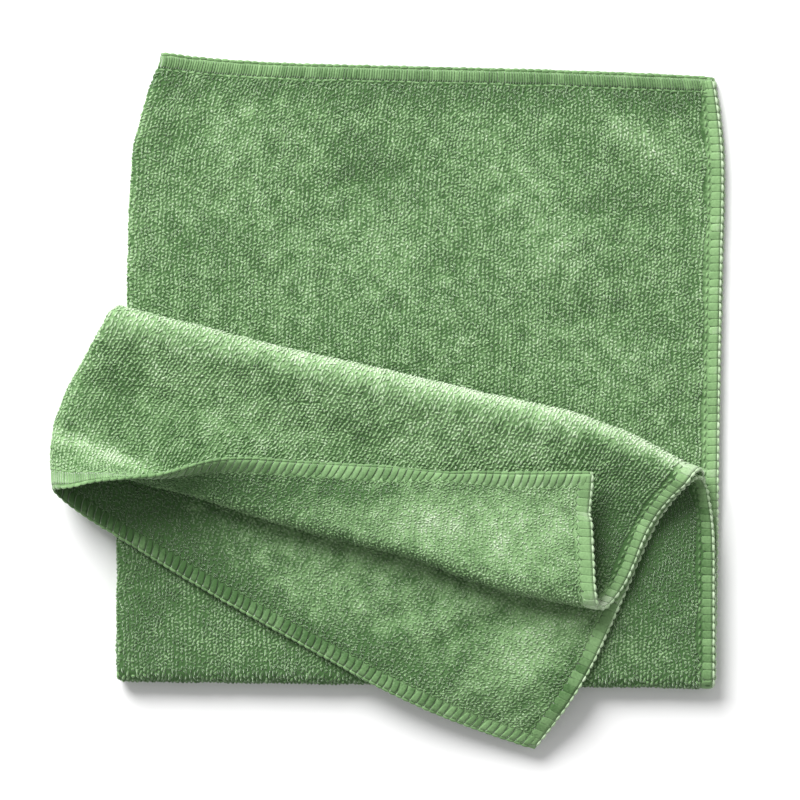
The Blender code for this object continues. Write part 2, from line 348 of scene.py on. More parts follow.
    @staticmethod
    def roll(
        distance: Array, depth: Array, sections: Sections, passed: Which = False
    ) -> tuple[Array, Array]:
        """Carries a flat sheet along a section made of arcs and straight runs.

        Args:
            distance: How far each point lies past the start of the section.
            depth: How far it lies above the sheet's middle.
            sections: (length, turn) of each, where a turn above 0 rolls the sheet upward.
            passed: Which points go on straight from the end of the section, wherever they lie.

        Returns:
            Each point's run along the first heading, and its height.
        """
        run = np.where(passed, 0.0, np.minimum(distance, 0.0))
        height = np.zeros_like(run)
        heading = np.zeros_like(run)
        left = np.where(passed, distance, np.maximum(distance, 0.0))
        for length, turn in sections:
            step = np.where(passed, length, np.minimum(left, length))
            bent = step / np.maximum(length, TINY) * turn
            chord = step * np.sinc(bent / (2 * math.pi))
            run = run + chord * np.cos(heading + bent / 2)
            height = height + chord * np.sin(heading + bent / 2)
            heading = heading + bent
            left = left - step
        run = run + left * np.cos(heading) - depth * np.sin(heading)
        height = height + left * np.sin(heading) + depth * np.cos(heading)
        return run, height

    def ends_down_the_strip(self, across: Array) -> tuple[Array, Array]:
        """How far down the strip the cloth's two ends lie."""
        return self.ends.at("top", across) * MM, self.ends.at("end", across) * MM

    def fold_in_half(self, across: Array, down: Array, depth: Array) -> tuple[Array, ...]:
        """Folds the cloth double at the left.

        Args:
            across: Places on the flat cloth, from the left fold.
            down: How far down the strip they lie.
            depth: How far they lie from the sheet's middle.

        Returns:
            Across, down and height on the doubled strip.
        """
        radius = self.fold_opening.at("radius", down) * MM
        rise = 2 * radius - self.layer_pitch
        dip = np.maximum(np.arctan2(rise, self.fold_settle_run), self.fold_least_dip)
        arc_drop = self.fold_settle_arc * np.sinc(dip / (2 * math.pi)) * np.sin(dip / 2)
        fall = radius * (1 + np.cos(dip)) - self.layer_pitch - arc_drop
        sections = (
            (radius * (math.pi + dip), math.pi + dip),
            (np.maximum(fall / np.sin(dip), 0.0), 0.0),
            (self.fold_settle_arc, -dip),
        )
        run, height = self.roll(across + radius * math.pi / 2, depth, sections)
        return radius - run, down, height - self.layer_pitch / 2

    def draw_in(self, points: tuple[Array, ...], across: Array) -> tuple[Array, ...]:
        """Narrows the doubled strip where the cross hems draw it in.

        Args:
            points: Across, down and height on the strip.
            across: The same places on the flat cloth, from the left fold.

        Returns:
            Across, down and height after it.
        """
        x, y, z = points
        fold, lower, upper = (self.drawn_in.at(name, y) for name in ("fold", "lower", "upper"))
        blend = self.side_blend * self.half_width
        upper_share = smooth_step(across, -blend, blend)
        side = lower + (upper - lower) * upper_share
        return fold * MM + x * (self.half_width - (fold + side) * MM) / self.half_width, y, z

    def beyond_line(
        self, points: tuple[Array, ...], line: tuple[float, float]
    ) -> tuple[Array, Array, Array]:
        """Measures the strip from a fold's line.

        Args:
            points: Across, down and height on the strip.
            line: The fold's line.

        Returns:
            How far each point lies along the line and beyond it, and the line's direction.
        """
        along = np.array([self.half_width, line[1] - line[0]])
        along = along / np.linalg.norm(along)
        beside = points[0] * along[0] + (points[1] - line[0]) * along[1]
        beyond = (points[1] - line[0]) * along[0] - points[0] * along[1]
        return beside, beyond, along

    def roll_past(
        self,
        points: tuple[Array, ...],
        line: tuple[float, float],
        sections: Sections,
        side: int,
        passed: Which = False,
        bow: Measure = 0.0,
    ) -> tuple[Array, ...]:
        """Rolls the strip past a fold's line.

        Args:
            points: Across, down and height on the strip.
            line: The fold's line.
            sections: What it rolls along.
            side: 1 to roll over the upper layer, or -1 under the lower one.
            passed: Which points take the whole roll, wherever they lie.
            bow: How far the line bows out.

        Returns:
            Across, down and height after the roll.
        """
        beside, beyond, along = self.beyond_line(points, line)
        run, height = self.roll(beyond - bow, side * points[2], sections, passed)
        run = run + bow
        return (
            beside * along[0] - run * along[1],
            line[0] + beside * along[1] + run * along[0],
            side * height,
        )

    def turn_back_flap(
        self, points: tuple[Array, ...], across: Array, level: Array
    ) -> tuple[Array, ...]:
        """Turns the upper layer's end back over itself.

        Args:
            points: Across, down and height on the strip.
            across: The same places on the flat cloth, from the left fold.
            level: The height of the sheet's middle at each.

        Returns:
            Across, down and height after it.
        """
        turn = np.radians(self.flap_turn.at("degrees", across))
        band = self.flap_turn.at("band", across) * MM
        bow = self.flap_turn.at("bow", across) * MM
        x, y, z = points
        turned = self.roll_past((x, y, z - level), self.flap_line, ((band, turn),), 1, bow=bow)
        return turned[0], turned[1], turned[2] + level

    def swell_upper_layer(self, points: tuple[Array, ...]) -> tuple[Array, ...]:
        """Raises soft swells in everything that lies over the lower layer.

        Args:
            points: Across, down and height on the strip.

        Returns:
            Across, down and height after it.
        """
        x, y, z = points
        rise = np.zeros_like(z)
        for at_x, at_y, reach, height in self.swells.rows():
            spread = ((x / MM - at_x) ** 2 + (y / MM - at_y) ** 2) / reach**2
            rise += height * MM * np.clip(1 - spread, 0, 1) ** 2
        return x, y, z + rise * smooth_step(z, -self.layer_gap / 2, self.layer_gap / 2)

    def drop_overhangs(self, points: tuple[Array, ...], over_ridge: Array) -> tuple[Array, ...]:
        """Lets what hangs past the bottom turn and the left fold sink.

        Args:
            points: Across, down and height on the strip.
            over_ridge: Which of them lie past the ridge's line.

        Returns:
            Across, down and height after it.
        """
        x, y, z = points
        past_turn = y - self.turn_line[1] - self.turn_radius - self.thickness
        drop = self.drop.at("corner", past_turn) + self.drop.at("fold", -x)
        return x, y, z - np.where(over_ridge, drop, 0) * MM

    def lie_down(self, points: tuple[Array, ...]) -> tuple[Array, ...]:
        """Lays the strip down on its surface.

        Args:
            points: Across, down and height on the strip.

        Returns:
            The points' x, y and z.
        """
        x, y, z = points
        turn_cos, turn_sin = math.cos(self.lay_turn), math.sin(self.lay_turn)
        x, y = x * turn_cos + y * turn_sin, x * turn_sin - y * turn_cos
        return self.fold_x + x, self.top_y + y, self.thickness + self.layer_gap / 2 + z

    def pull(self, points: Array, across: Array, strip: Array) -> Array:
        """Moves the folded cloth where it is pulled.

        Args:
            points: Its points, with x, y and z last.
            across: The same places on the flat cloth, from the left fold.
            strip: How far down the strip they lie.

        Returns:
            The points after it.
        """
        for at_across, at_strip, wide, long, *way in self.pulls.rows():
            aside, below = across / MM - at_across, strip / MM - at_strip
            share = np.exp(-((aside / wide) ** 2) - (below / long) ** 2)
            points = points + share[..., None] * np.array(way) * MM
        return points

    def lift(self, across: Array, down: Array) -> Array:
        """How far the crumple and the creases lift the outer face.

        Args:
            across: Places on the flat cloth, from the left fold.
            down: The same places, from the top hem.

        Returns:
            The lift at each.
        """
        raised = self.crumple.at(across, down) * self.crumple_rise
        for crease in self.creases:
            raised = raised + crease.lift(across, down)
        return raised

    def ridge_sections(self) -> tuple[tuple[float, float], ...]:
        """What the second fold carries the strip along.

        Returns:
            (length, turn) of the ridge's roll, of the slope after it, and of how that settles.
        """
        return (
            (self.ridge_radius * (math.pi + self.ridge_dip), math.pi + self.ridge_dip),
            (self.ridge_slope, 0.0),
            (self.ridge_settle_radius * self.ridge_dip, -self.ridge_dip),
        )

    def place(self, across: Array, down: Array, depth: Array) -> Array:
        """Where points of the flat cloth lie in the folded one.

        Args:
            across: From the left fold, below 0 in the lower layer.
            down: From the top hem.
            depth: From the sheet's middle, below 0 towards the outer face.

        Returns:
            An array of points, with x, y and z last.
        """
        across, down, depth = np.broadcast_arrays(across, down, depth)
        depth = depth - self.lift(across, down)
        top, end = self.ends_down_the_strip(across)
        strip = top + (end - top) * down / self.length
        points = self.draw_in(self.fold_in_half(across, strip, depth), across)
        over_ridge = self.beyond_line(points, self.ridge_line)[1] > 0
        level = self.fold_in_half(across, strip, 0 * depth)[2]
        points = self.turn_back_flap(points, across, level)
        points = self.swell_upper_layer(points)
        points = self.roll_past(points, self.ridge_line, self.ridge_sections(), -1)
        turn = ((math.pi * self.turn_radius, math.pi),)
        points = self.roll_past(points, self.turn_line, turn, 1, over_ridge)
        points = self.drop_overhangs(points, over_ridge)
        return self.pull(np.stack(self.lie_down(points), axis=-1), across, strip)

    def outward(self, across: Array, down: Array, face: Face) -> Array:
        """Which way a face of the folded cloth looks.

        Args:
            across: Places on the flat cloth, from the left fold.
            down: The same places, from the top hem.
            face: The face they are on.

        Returns:
            A unit vector that points out of the face at each.
        """
        reach = 0.2 * MM
        tip = self.place(across, down, face.value * reach)
        root = self.place(across, down, 0 * np.asarray(across))
        out = tip - root
        return out / np.linalg.norm(out, axis=-1, keepdims=True)

    def to_edge(self, across: Array, down: Array) -> Array:
        """Distance on the flat cloth from its nearest edge."""
        return np.minimum(self.half_width - np.abs(across), np.minimum(down, self.length - down))

    def lines_down_the_cloth(self, across: Array) -> dict[str, Array]:
        """Where the folds and the hems lie down the flat cloth.

        Args:
            across: The columns they are wanted at, from the left fold.

        Returns:
            Each line's distance from the top hem at those columns, by name.
        """
        share = np.abs(across) / self.half_width
        top, end = self.ends_down_the_strip(across)
        turn, ridge, flap = (
            line[0] + (line[1] - line[0]) * share
            for line in (self.turn_line, self.ridge_line, self.flap_line)
        )
        band = self.flap_turn.at("band", np.abs(across)) * MM
        bow = self.flap_turn.at("bow", np.abs(across)) * MM
        sections = self.ridge_sections()
        last = end - self.hem_width - self.hem_step - self.flap_least_end
        flap_start = np.minimum(flap + bow, last - band)
        folds = {
            "turn_start": turn,
            "turn_end": turn + math.pi * self.turn_radius,
            "ridge_start": ridge,
            "ridge_over": ridge + sections[0][0],
            "ridge_settled": ridge + sum(section[0] for section in sections),
            "flap_start": flap_start,
            "flap_over": flap_start + band,
        }
        lines = {name: (at - top) / (end - top) * self.length for name, at in folds.items()}
        whole = np.ones_like(share)
        lines["top_edge"] = 0 * whole
        lines["top_hem"] = self.hem_width * whole
        lines["top_pile"] = (self.hem_width + self.hem_step) * whole
        lines["end_hem"] = (self.length - self.hem_width) * whole
        lines["end_edge"] = self.length * whole
        return lines


# ---------------------------------------------------------------- meshes


def link_mesh(
    name: str,
    points: Array,
    corners: Array,
    sizes: Array,
    bake_map: Array,
    tone: Array,
    cloth_map: Optional[Array] = None,
) -> bpy.types.Object:
    """Makes a smooth mesh object from arrays.

    Args:
        name: The object's name.
        points: Its vertices, (n, 3).
        corners: The vertex of each face corner, face by face.
        sizes: The number of corners of each face.
        bake_map: Each corner's place in the bake map, (m, 2).
        tone: Each vertex's tone, from 0 for the darkest to 1 for the lightest.
        cloth_map: Each corner's place on the flat cloth in mm, (m, 2).

    Returns:
        The linked object.
    """
    mesh = bpy.data.meshes.new(name)
    mesh.vertices.add(len(points))
    mesh.vertices.foreach_set("co", np.ascontiguousarray(points, np.float32).ravel())
    mesh.loops.add(len(corners))
    mesh.loops.foreach_set("vertex_index", np.ascontiguousarray(corners, np.int32))
    mesh.polygons.add(len(sizes))
    starts = np.concatenate([[0], np.cumsum(sizes)[:-1]])
    mesh.polygons.foreach_set("loop_start", starts.astype(np.int32))
    mesh.update(calc_edges=True)
    maps = {"OFBake": bake_map, "Cloth": cloth_map}
    for map_name, places in maps.items():
        if places is not None:
            layer = mesh.uv_layers.new(name=map_name)
            layer.uv.foreach_set("vector", np.ascontiguousarray(places, np.float32).ravel())
    tones = mesh.attributes.new("tone", "FLOAT", "POINT")
    tones.data.foreach_set("value", np.ascontiguousarray(tone, np.float32))
    mesh.shade_smooth()
    thing = bpy.data.objects.new(name, mesh)
    bpy.context.scene.collection.objects.link(thing)
    return thing


class ClothPart:
    """What the sheet, its pile and its edge share."""

    def dress(self, pieces: Iterable[bpy.types.Object], *materials: bpy.types.Material) -> None:
        """Gives pieces their finish, and lets them ride with the cloth.

        Args:
            pieces: The pieces.
            materials: Their materials, in order.
        """
        for piece in pieces:
            for material in materials:
                piece.data.materials.append(material)
            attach(piece, "root")
            log.info("%s: %d faces", piece.name, len(piece.data.polygons))


# ---------------------------------------------------------------- how light the pile looks


@dataclass(frozen=True)
class Patch:
    """A soft lighter or darker place of one face, in mm on the flat cloth.

    Its middle is at (across, down), and it may be long, along a bearing in degrees.
    """

    across: float
    down: float
    reach: float
    change: float
    length: float = 1.0  # times its reach
    bearing: float = 0.0

    def at(self, across: Array, down: Array) -> Array:
        """How much the patch changes the tone.

        Args:
            across: Places on the flat cloth, from the left fold.
            down: The same places, from the top hem.

        Returns:
            The change at each.
        """
        middle = (self.across, self.down)
        along, beside = along_and_beside(across, down, middle, self.bearing)
        spread = ((along / self.length) ** 2 + beside**2) / self.reach**2
        return self.change * np.exp(-spread)


@dataclass(frozen=True)
class PileToneAndPaintedLight:
    """How light the pile looks from place to place: its tone at random, with painted light and painted
    shade laid over it where light falls on the folds.
    """

    cloth: FoldedCloth
    # Painted highlight along the crest of the ridge, where light falls on it
    crest_highlight: float = 0.56
    crest_reach: float = 4.0 * MM
    crest_share: float = 0.62  # of the ridge's roll, where its crest shows
    crest_fade: float = 0.3  # how much less the crest stands out at the left fold
    broad: Ripple = Ripple(seed=5, shortest=22 * MM, longest=90 * MM)
    broad_change: float = 0.045
    mottle: Ripple = Ripple(seed=6, shortest=4 * MM, longest=12 * MM, waves=40)
    mottle_change: float = 0.085
    middle: float = 0.455
    face_apart: float = 500 * MM  # sets the waves of the two faces apart
    # Changes by distance down the cloth, on its outer face: darker just inside the top hem, and painted
    # shade over the second run, up to the ridge
    run: Table = Table(
        down=(0, 8, 18, 190, 204, 240, 290, 315, 400),
        change=(-0.02, -0.24, 0.0, 0.0, -0.23, -0.22, -0.12, 0.04, 0.02),
    )
    outer_patches: tuple[Patch, ...] = (
        # First run, upper layer: painted shade in the troughs of the creases and painted light on their
        # ridges, among other lighter and darker places
        Patch(78, 34, reach=8, change=-0.22, length=1.8),
        Patch(63, 32, reach=4, change=0.12),
        Patch(160, 43, reach=5, change=-0.17, length=3.2),
        Patch(144, 58, reach=10, change=0.14, length=1.5, bearing=-25),
        Patch(107, 64, reach=6, change=-0.15, length=1.5),
        Patch(151, 77, reach=5, change=-0.15, length=3.0),
        Patch(175, 84, reach=5, change=-0.11, length=2.0),
        Patch(24, 60, reach=6, change=-0.12, length=2.0),
        Patch(60, 50, reach=7, change=-0.08, length=1.6),
        Patch(10, 28, reach=8, change=-0.13, length=1.8, bearing=-15),
        Patch(38, 20, reach=10, change=0.08, length=1.4),
        Patch(166, 20, reach=4.5, change=0.22, length=4.5, bearing=36),
        Patch(176, 10, reach=7, change=-0.12, length=1.6),
        Patch(147, 25, reach=8, change=-0.11, length=1.4),
        # Third run, upper layer: painted shade and light on its creases, other lighter and darker
        # places, and the painted light and shade marked below
        Patch(14, 357, reach=7, change=-0.18, length=1.4, bearing=60),
        Patch(62, 335, reach=5, change=-0.15, length=1.6),
        Patch(94, 334, reach=6, change=-0.15, length=1.6, bearing=20),
        Patch(50, 359, reach=4, change=0.14, length=2.5, bearing=65),
        # Painted highlight along the valley, where the turned-up layer faces the light
        Patch(23, 382, reach=3.2, change=0.54, length=6.0, bearing=-5),
        # Painted highlights along the ridge's crest, in these two
        Patch(178, 289, reach=3.4, change=0.24, length=6.0, bearing=-12),
        Patch(112, 303, reach=4, change=0.16, length=9.0, bearing=-14),
        # More painted highlight in the valley
        Patch(20, 387, reach=6, change=0.14, length=3.0),
        # Painted highlight on the flap's turned corner
        Patch(196, 345, reach=5, change=0.80),
        # Painted shadow that the flap casts on the layer beside it
        Patch(184, 322, reach=15, change=-0.52, length=1.5, bearing=75),
        Patch(150, 300, reach=26, change=0.08, length=2.0),
        # Second run, lower layer: painted shade and painted light on a crease's trough and ridge, other
        # lighter and darker places, and a painted shadow that the third run casts beside its hem (-184,
        # 260)
        Patch(-12, 238, reach=6, change=-0.20, length=3.0, bearing=90),
        Patch(-20, 221, reach=8, change=0.10, length=1.6),
        Patch(-44, 219, reach=7, change=0.20, length=2.0),
        Patch(-31, 242, reach=8, change=0.12),
        Patch(-9, 230, reach=5, change=-0.12, length=1.8, bearing=90),
        Patch(-50, 208, reach=4, change=-0.14, length=9.0),
        Patch(-184, 260, reach=17, change=-0.40, length=1.6),
        Patch(-178, 238, reach=11, change=-0.18, length=2.0, bearing=65),
        Patch(-172, 218, reach=8, change=0.16, length=1.4),
    )
    inner_patches: tuple[Patch, ...] = (
        # Flap: painted shade under its hem and along its fold edge, painted light over its middle and
        # right side, and a painted highlight on its turned corner (196, 351)
        Patch(68, 390, reach=7, change=-0.36, length=4.0, bearing=-3),
        Patch(130, 392, reach=4, change=-0.14, length=8.0),
        Patch(106, 391, reach=6, change=-0.26, length=3.0),
        Patch(126, 367, reach=5, change=-0.20, length=7.0, bearing=-17),
        Patch(150, 379, reach=14, change=0.14, length=3.0),
        Patch(144, 380, reach=6.5, change=0.22, length=1.8),
        Patch(167, 374, reach=5.5, change=0.22, length=2.0, bearing=80),
        Patch(184, 379, reach=6.5, change=0.16),
        Patch(196, 351, reach=4, change=0.55),
        Patch(196, 386, reach=9, change=0.16, length=2.0, bearing=90),
        # Inside the mouth: painted shade under its raised roof
        Patch(-14, 387, reach=20, change=-0.80, length=2.0),
        Patch(-80, 398, reach=8, change=-0.44, length=9.0),
        # Third run, lower layer: painted shade under the flap, painted light and shade on the two sides
        # of the slanting wrinkles, and painted shade at its corner
        Patch(-55, 385, reach=34, change=-0.06, length=1.6),
        Patch(-134, 384, reach=5, change=-0.13, length=3.4, bearing=55),
        Patch(-146, 371, reach=5, change=0.10, length=3.6, bearing=55),
        Patch(-157, 366, reach=4.5, change=-0.13, length=4.0, bearing=52),
        Patch(-173, 368, reach=8, change=0.15, length=1.8, bearing=50),
        Patch(-161, 377, reach=5, change=-0.20, length=3.2, bearing=70),
        Patch(-138, 389, reach=6, change=-0.16, length=3.0, bearing=5),
        Patch(-179, 375, reach=5, change=0.18, length=2.2, bearing=70),
        Patch(-196, 374, reach=9, change=-0.35, length=1.5, bearing=90),
    )

    def at(self, across: Array, down: Array, face: Face) -> Array:
        """Reads the tone of a face.

        Args:
            across: Places on the flat cloth, from the left fold.
            down: The same places, from the top hem.
            face: The face they are on.

        Returns:
            The tone at each, about 0 for the darkest to 1 for the lightest.
        """
        side = self.face_apart * face.value
        tone = self.middle + self.broad.at(across + side, down) * self.broad_change
        tone = tone + self.mottle.at(across + side, down) * self.mottle_change
        if face is Face.OUTER:
            # Painted shade over the second run
            tone = tone + self.run.at("change", down)
            # Painted highlight along the ridge's crest
            lines = self.cloth.lines_down_the_cloth(across)
            start, over = lines["ridge_start"], lines["ridge_over"]
            from_crest = down - start - (over - start) * self.crest_share
            share = self.crest_fade * np.abs(across) / self.cloth.half_width
            rise = self.crest_highlight * (1 - self.crest_fade + share)
            tone = tone + rise * np.exp(-((from_crest / self.crest_reach) ** 2))
        for patch in self.outer_patches if face is Face.OUTER else self.inner_patches:
            tone = tone + patch.at(across, down)
        return tone


# ---------------------------------------------------------------- the sheet


@dataclass(frozen=True)
class Ground(ClothPart):
    """The knitted ground of the cloth, as one closed sheet."""

    cloth: FoldedCloth
    tone: PileToneAndPaintedLight
    # Half the depth of the sheet, by distance to its edge
    half_depth: Table = Table(
        to_edge=(0, 0.5, 1.2, 4.0, 6.0, 8.0),
        depth=(0.18, 0.42, 0.52, 0.55, 0.60, 0.72),
    )
    # Steps of the mesh between the named lines down the strip
    rows: tuple[tuple[str, str, int], ...] = (
        ("top_edge", "top_hem", 5),
        ("top_hem", "top_pile", 2),
        ("top_pile", "turn_start", 84),
        ("turn_start", "turn_end", 12),
        ("turn_end", "ridge_start", 32),
        ("ridge_start", "ridge_over", 20),
        ("ridge_over", "ridge_settled", 12),
        ("ridge_settled", "flap_start", 6),
        ("flap_start", "flap_over", 16),
        ("flap_over", "end_hem", 12),
        ("end_hem", "end_edge", 5),
    )
    # Steps of the mesh from the left fold to the side hem
    column_steps: Table = Table(
        step=(0, 6, 14, 90, 92, 97),
        across=(0, 3.9, 14, 190, 192, 198),
    )
    bake_margin: float = 0.004
    hem_tone: float = 0.26  # how much lighter the ground is under the stitches
    hem_tone_inside: float = 4.5 * MM  # where that begins to fade

    def column_places(self) -> Array:
        """Where the columns of the mesh lie.

        Returns:
            Each one's distance from the left fold, below 0 in the lower layer.
        """
        steps, across = self.column_steps.columns.values()
        half = np.interp(np.arange(steps[-1] + 1), steps, across) * MM
        return np.concatenate([-half[:0:-1], half])

    def flat_grid(self) -> tuple[Array, Array]:
        """Where the points of the mesh lie on the flat cloth.

        Returns:
            Their distances from the left fold and from the top hem, a row at a time.
        """
        across = self.column_places()
        lines = self.cloth.lines_down_the_cloth(across)
        rows = [lines["top_edge"]]
        for start, stop, steps in self.rows:
            for step in range(1, steps + 1):
                rows.append(lines[start] + (lines[stop] - lines[start]) * step / steps)
        down = np.array(rows)
        return np.broadcast_to(across, down.shape).copy(), down

    def bake_map(self, flat: Array) -> Array:
        """Lays the two faces side by side in the bake map.

        Args:
            flat: Across and down of the mesh's points, the outer face's first.

        Returns:
            Each point's place in the map.
        """
        share = flat / [2 * self.cloth.half_width, self.cloth.length] + [0.5, 0.0]
        places = self.bake_margin + share * (1 - 2 * self.bake_margin)
        places[:, 0] = places[:, 0] / 2
        places[len(flat) // 2 :, 0] += 0.5
        return places

    def build(self) -> bpy.types.Object:
        """Builds the outer face, the inner one and the rim that joins them.

        Returns:
            The sheet, with the inner face on its second material.
        """
        across, down = self.flat_grid()
        inside = self.cloth.to_edge(across, down)
        depth = self.half_depth.at("depth", inside) * MM
        sides = [self.cloth.place(across, down, face.value * depth) for face in Face]
        under = 1 - smooth_step(inside, self.hem_tone_inside, self.cloth.hem_width)
        tones = [self.tone.at(across, down, face) + self.hem_tone * under for face in Face]
        size = across.size
        index = np.arange(size).reshape(across.shape)
        quads = np.stack(
            [index[:-1, :-1], index[:-1, 1:], index[1:, 1:], index[1:, :-1]], axis=-1
        ).reshape(-1, 4)
        rim = np.concatenate([index[0, :-1], index[:-1, -1], index[-1, :0:-1], index[:0:-1, 0]])
        after = np.roll(rim, -1)
        rim_quads = np.stack([after, rim, rim + size, after + size], axis=-1)
        faces = np.concatenate([quads, quads[:, ::-1] + size, rim_quads])
        flat = np.stack([across, down], axis=-1).reshape(-1, 2)
        flat = np.concatenate([flat, flat])
        # The rim's faces keep to the outer face's half of the map
        bake_faces = np.concatenate([faces[: 2 * len(quads)], rim_quads % size])
        piece = link_mesh(
            "cloth_sheet",
            np.concatenate([side.reshape(-1, 3) for side in sides]),
            faces.ravel(),
            np.full(len(faces), 4),
            self.bake_map(flat)[bake_faces].reshape(-1, 2),
            np.concatenate([tone.ravel() for tone in tones]),
            flat[faces].reshape(-1, 2) / MM,
        )
        inner = np.zeros(len(faces), np.int32)
        inner[len(quads) : 2 * len(quads)] = 1
        piece.data.polygons.foreach_set("material_index", inner)
        return piece


@dataclass(frozen=True)
class Sight:
    """Tells which places of the folded cloth lie open and which ones are shut in a fold."""

    cloth: FoldedCloth
    tree: BVHTree
    clear: float = 3.5 * MM  # what an open place needs straight over it
    far: float = 120 * MM  # how far a slanting look goes
    start: float = 1.25 * MM  # of a look, over the sheet's middle
    tilt: float = math.radians(52)
    looks: int = 7
    fewest: int = 2  # looks out that a place needs
    level: tuple[float, float, float] = (0.6, 0.8, 0.0)  # any level way, to set the looks from
    floor: float = 0.8 * MM  # a place this low that looks down lies on the floor
    looks_down: float = -0.5

    @classmethod
    def over(cls, cloth: FoldedCloth, sheet: bpy.types.Object) -> "Sight":
        """Sight past the mesh of a sheet.

        Args:
            cloth: The cloth.
            sheet: The mesh of four-sided faces that stands in the way of a look.

        Returns:
            The sight.
        """
        mesh = sheet.data
        points = np.empty(len(mesh.vertices) * 3, np.float32)
        mesh.vertices.foreach_get("co", points)
        faces = np.empty(len(mesh.loops), np.int32)
        mesh.loops.foreach_get("vertex_index", faces)
        tree = BVHTree.FromPolygons(points.reshape(-1, 3).tolist(), faces.reshape(-1, 4).tolist())
        return cls(cloth, tree)

    def open_places(self, across: Array, down: Array, face: Face) -> Array:
        """Which places on a face lie open.

        Args:
            across: Their distance from the left fold.
            down: Their distance from the top hem.
            face: The face they are on.

        Returns:
            True for each place with nothing close over it.
        """
        out = self.cloth.outward(across, down, face)
        start = self.cloth.place(across, down, face.value * self.start)
        shut = ~self.free(start, out, self.clear)
        aside = np.cross(out, self.level)
        aside /= np.linalg.norm(aside, axis=-1, keepdims=True)
        beyond = np.cross(out, aside)
        seen = np.zeros(len(start), int)
        for turn in 2 * math.pi * np.arange(self.looks) / self.looks:
            away = aside * math.cos(turn) + beyond * math.sin(turn)
            seen += self.free(start, out * math.cos(self.tilt) + away * math.sin(self.tilt), self.far)
        from_above = self.free(start, np.broadcast_to(UP, out.shape), self.far)
        on_floor = (out[:, 2] < self.looks_down) & (start[:, 2] < self.floor)
        return ((seen >= self.fewest) | (from_above & (out[:, 2] > 0))) & ~shut & ~on_floor

    def free(self, start: Array, way: Array, reach: float) -> Array:
        """Casts looks past the sheet.

        Args:
            start: Where each one starts.
            way: Which way it goes.
            reach: How far it goes.

        Returns:
            True for each look that meets nothing.
        """
        cast = self.tree.ray_cast
        looks = zip(start.tolist(), way.tolist())
        return np.array([cast(point, along, reach)[0] is None for point, along in looks])


# ---------------------------------------------------------------- strands


STRAND_ARRAYS = ("paths", "side", "half_width", "half_height", "tone")


@dataclass(frozen=True)
class Strands:
    """Short strands of yarn, all of the same number of steps.

    Each runs along a path on the flat cloth, with a constant side direction, and its ring at each
    step is an ellipse of a half width to that side and a half height square to it.
    """

    paths: Array  # (strands, steps, 3): across, down, depth
    side: Array  # (strands, 3)
    half_width: Array  # (strands, steps)
    half_height: Array  # (strands, steps)
    tone: Array  # (strands, steps)
    sides: int = 4
    first_angle: float = 0.0  # of the first of its sides, from the side direction
    map_gap: float = 0.5  # left free in a strand's cell of the bake map, in sides
    map_cap: float = 0.2  # where a strand's end lies in its cell, in steps

    def kept(self, keep: Array) -> "Strands":
        """The strands that keep marks."""
        return replace(self, **{name: getattr(self, name)[keep] for name in STRAND_ARRAYS})

    @classmethod
    def joined(cls, parts: Sequence["Strands"]) -> "Strands":
        """Strands of the same kind, as one."""
        arrays = [np.concatenate([getattr(part, name) for part in parts]) for name in STRAND_ARRAYS]
        return cls(*arrays, parts[0].sides)

    def rings(self) -> Array:
        """The rings of points round each strand.

        Returns:
            Their places on the flat cloth: (strands, steps, sides, 3).
        """
        tangent = np.gradient(self.paths, axis=1)
        tangent /= np.maximum(np.linalg.norm(tangent, axis=-1, keepdims=True), TINY)
        side = np.broadcast_to(self.side[:, None, :], tangent.shape)
        up = np.cross(side, tangent)
        angles = self.first_angle + 2 * math.pi * np.arange(self.sides) / self.sides
        wide = (self.half_width[..., None] * np.cos(angles))[..., None] * side[:, :, None, :]
        high = (self.half_height[..., None] * np.sin(angles))[..., None] * up[:, :, None, :]
        return self.paths[:, :, None, :] + wide + high

    def build(self, name: str, cloth: FoldedCloth) -> bpy.types.Object:
        """Builds the strands as closed tubes on the folded cloth.

        Args:
            name: The piece's name.
            cloth: The cloth that carries them.

        Returns:
            All of them, in one mesh.
        """
        rings = self.rings()
        count, steps, sides = rings.shape[:3]
        points = cloth.place(rings[..., 0], rings[..., 1], rings[..., 2]).reshape(-1, 3)
        index = np.arange(count * steps * sides).reshape(count, steps, sides)
        turned = np.roll(index, -1, axis=2)
        quads = np.stack([index[:, :-1], turned[:, :-1], turned[:, 1:], index[:, 1:]], axis=-1)
        caps = np.concatenate([index[:, 0, ::-1], index[:, -1]])
        # Each strand has its own cell of the bake map, unrolled along it and round it
        cells = math.ceil(math.sqrt(count))
        cell = np.stack([np.arange(count) % cells, np.arange(count) // cells], axis=-1)
        along = ((np.arange(steps) + 0.5) / steps)[:, None]
        round_it = (np.arange(sides + 1) + self.map_gap / 2) / (sides + self.map_gap)
        near, far, left, right = along[:-1], along[1:], round_it[:-1], round_it[1:]
        corners = [(near, left), (near, right), (far, right), (far, left)]
        local = [np.stack(np.broadcast_arrays(*corner), axis=-1) for corner in corners]
        quad_map = (cell[:, None, None, None, :] + np.stack(local, axis=-2)) / cells
        inset = self.map_cap / steps
        cap_along = np.repeat([[inset], [1 - inset]], count, axis=0)
        cap_round = (np.arange(sides) + 0.5) / (sides + self.map_gap)
        cap_local = np.stack(np.broadcast_arrays(cap_along, cap_round), axis=-1)
        cap_map = np.concatenate([cell, cell])[:, None, :] + cap_local
        return link_mesh(
            name,
            points,
            np.concatenate([quads.ravel(), caps.ravel()]),
            np.concatenate([np.full(quads[..., 0].size, 4), np.full(len(caps), sides)]),
            np.concatenate([quad_map.reshape(-1, 2), (cap_map / cells).reshape(-1, 2)]),
            np.repeat(self.tone.ravel(), sides),
        )


# ---------------------------------------------------------------- the pile


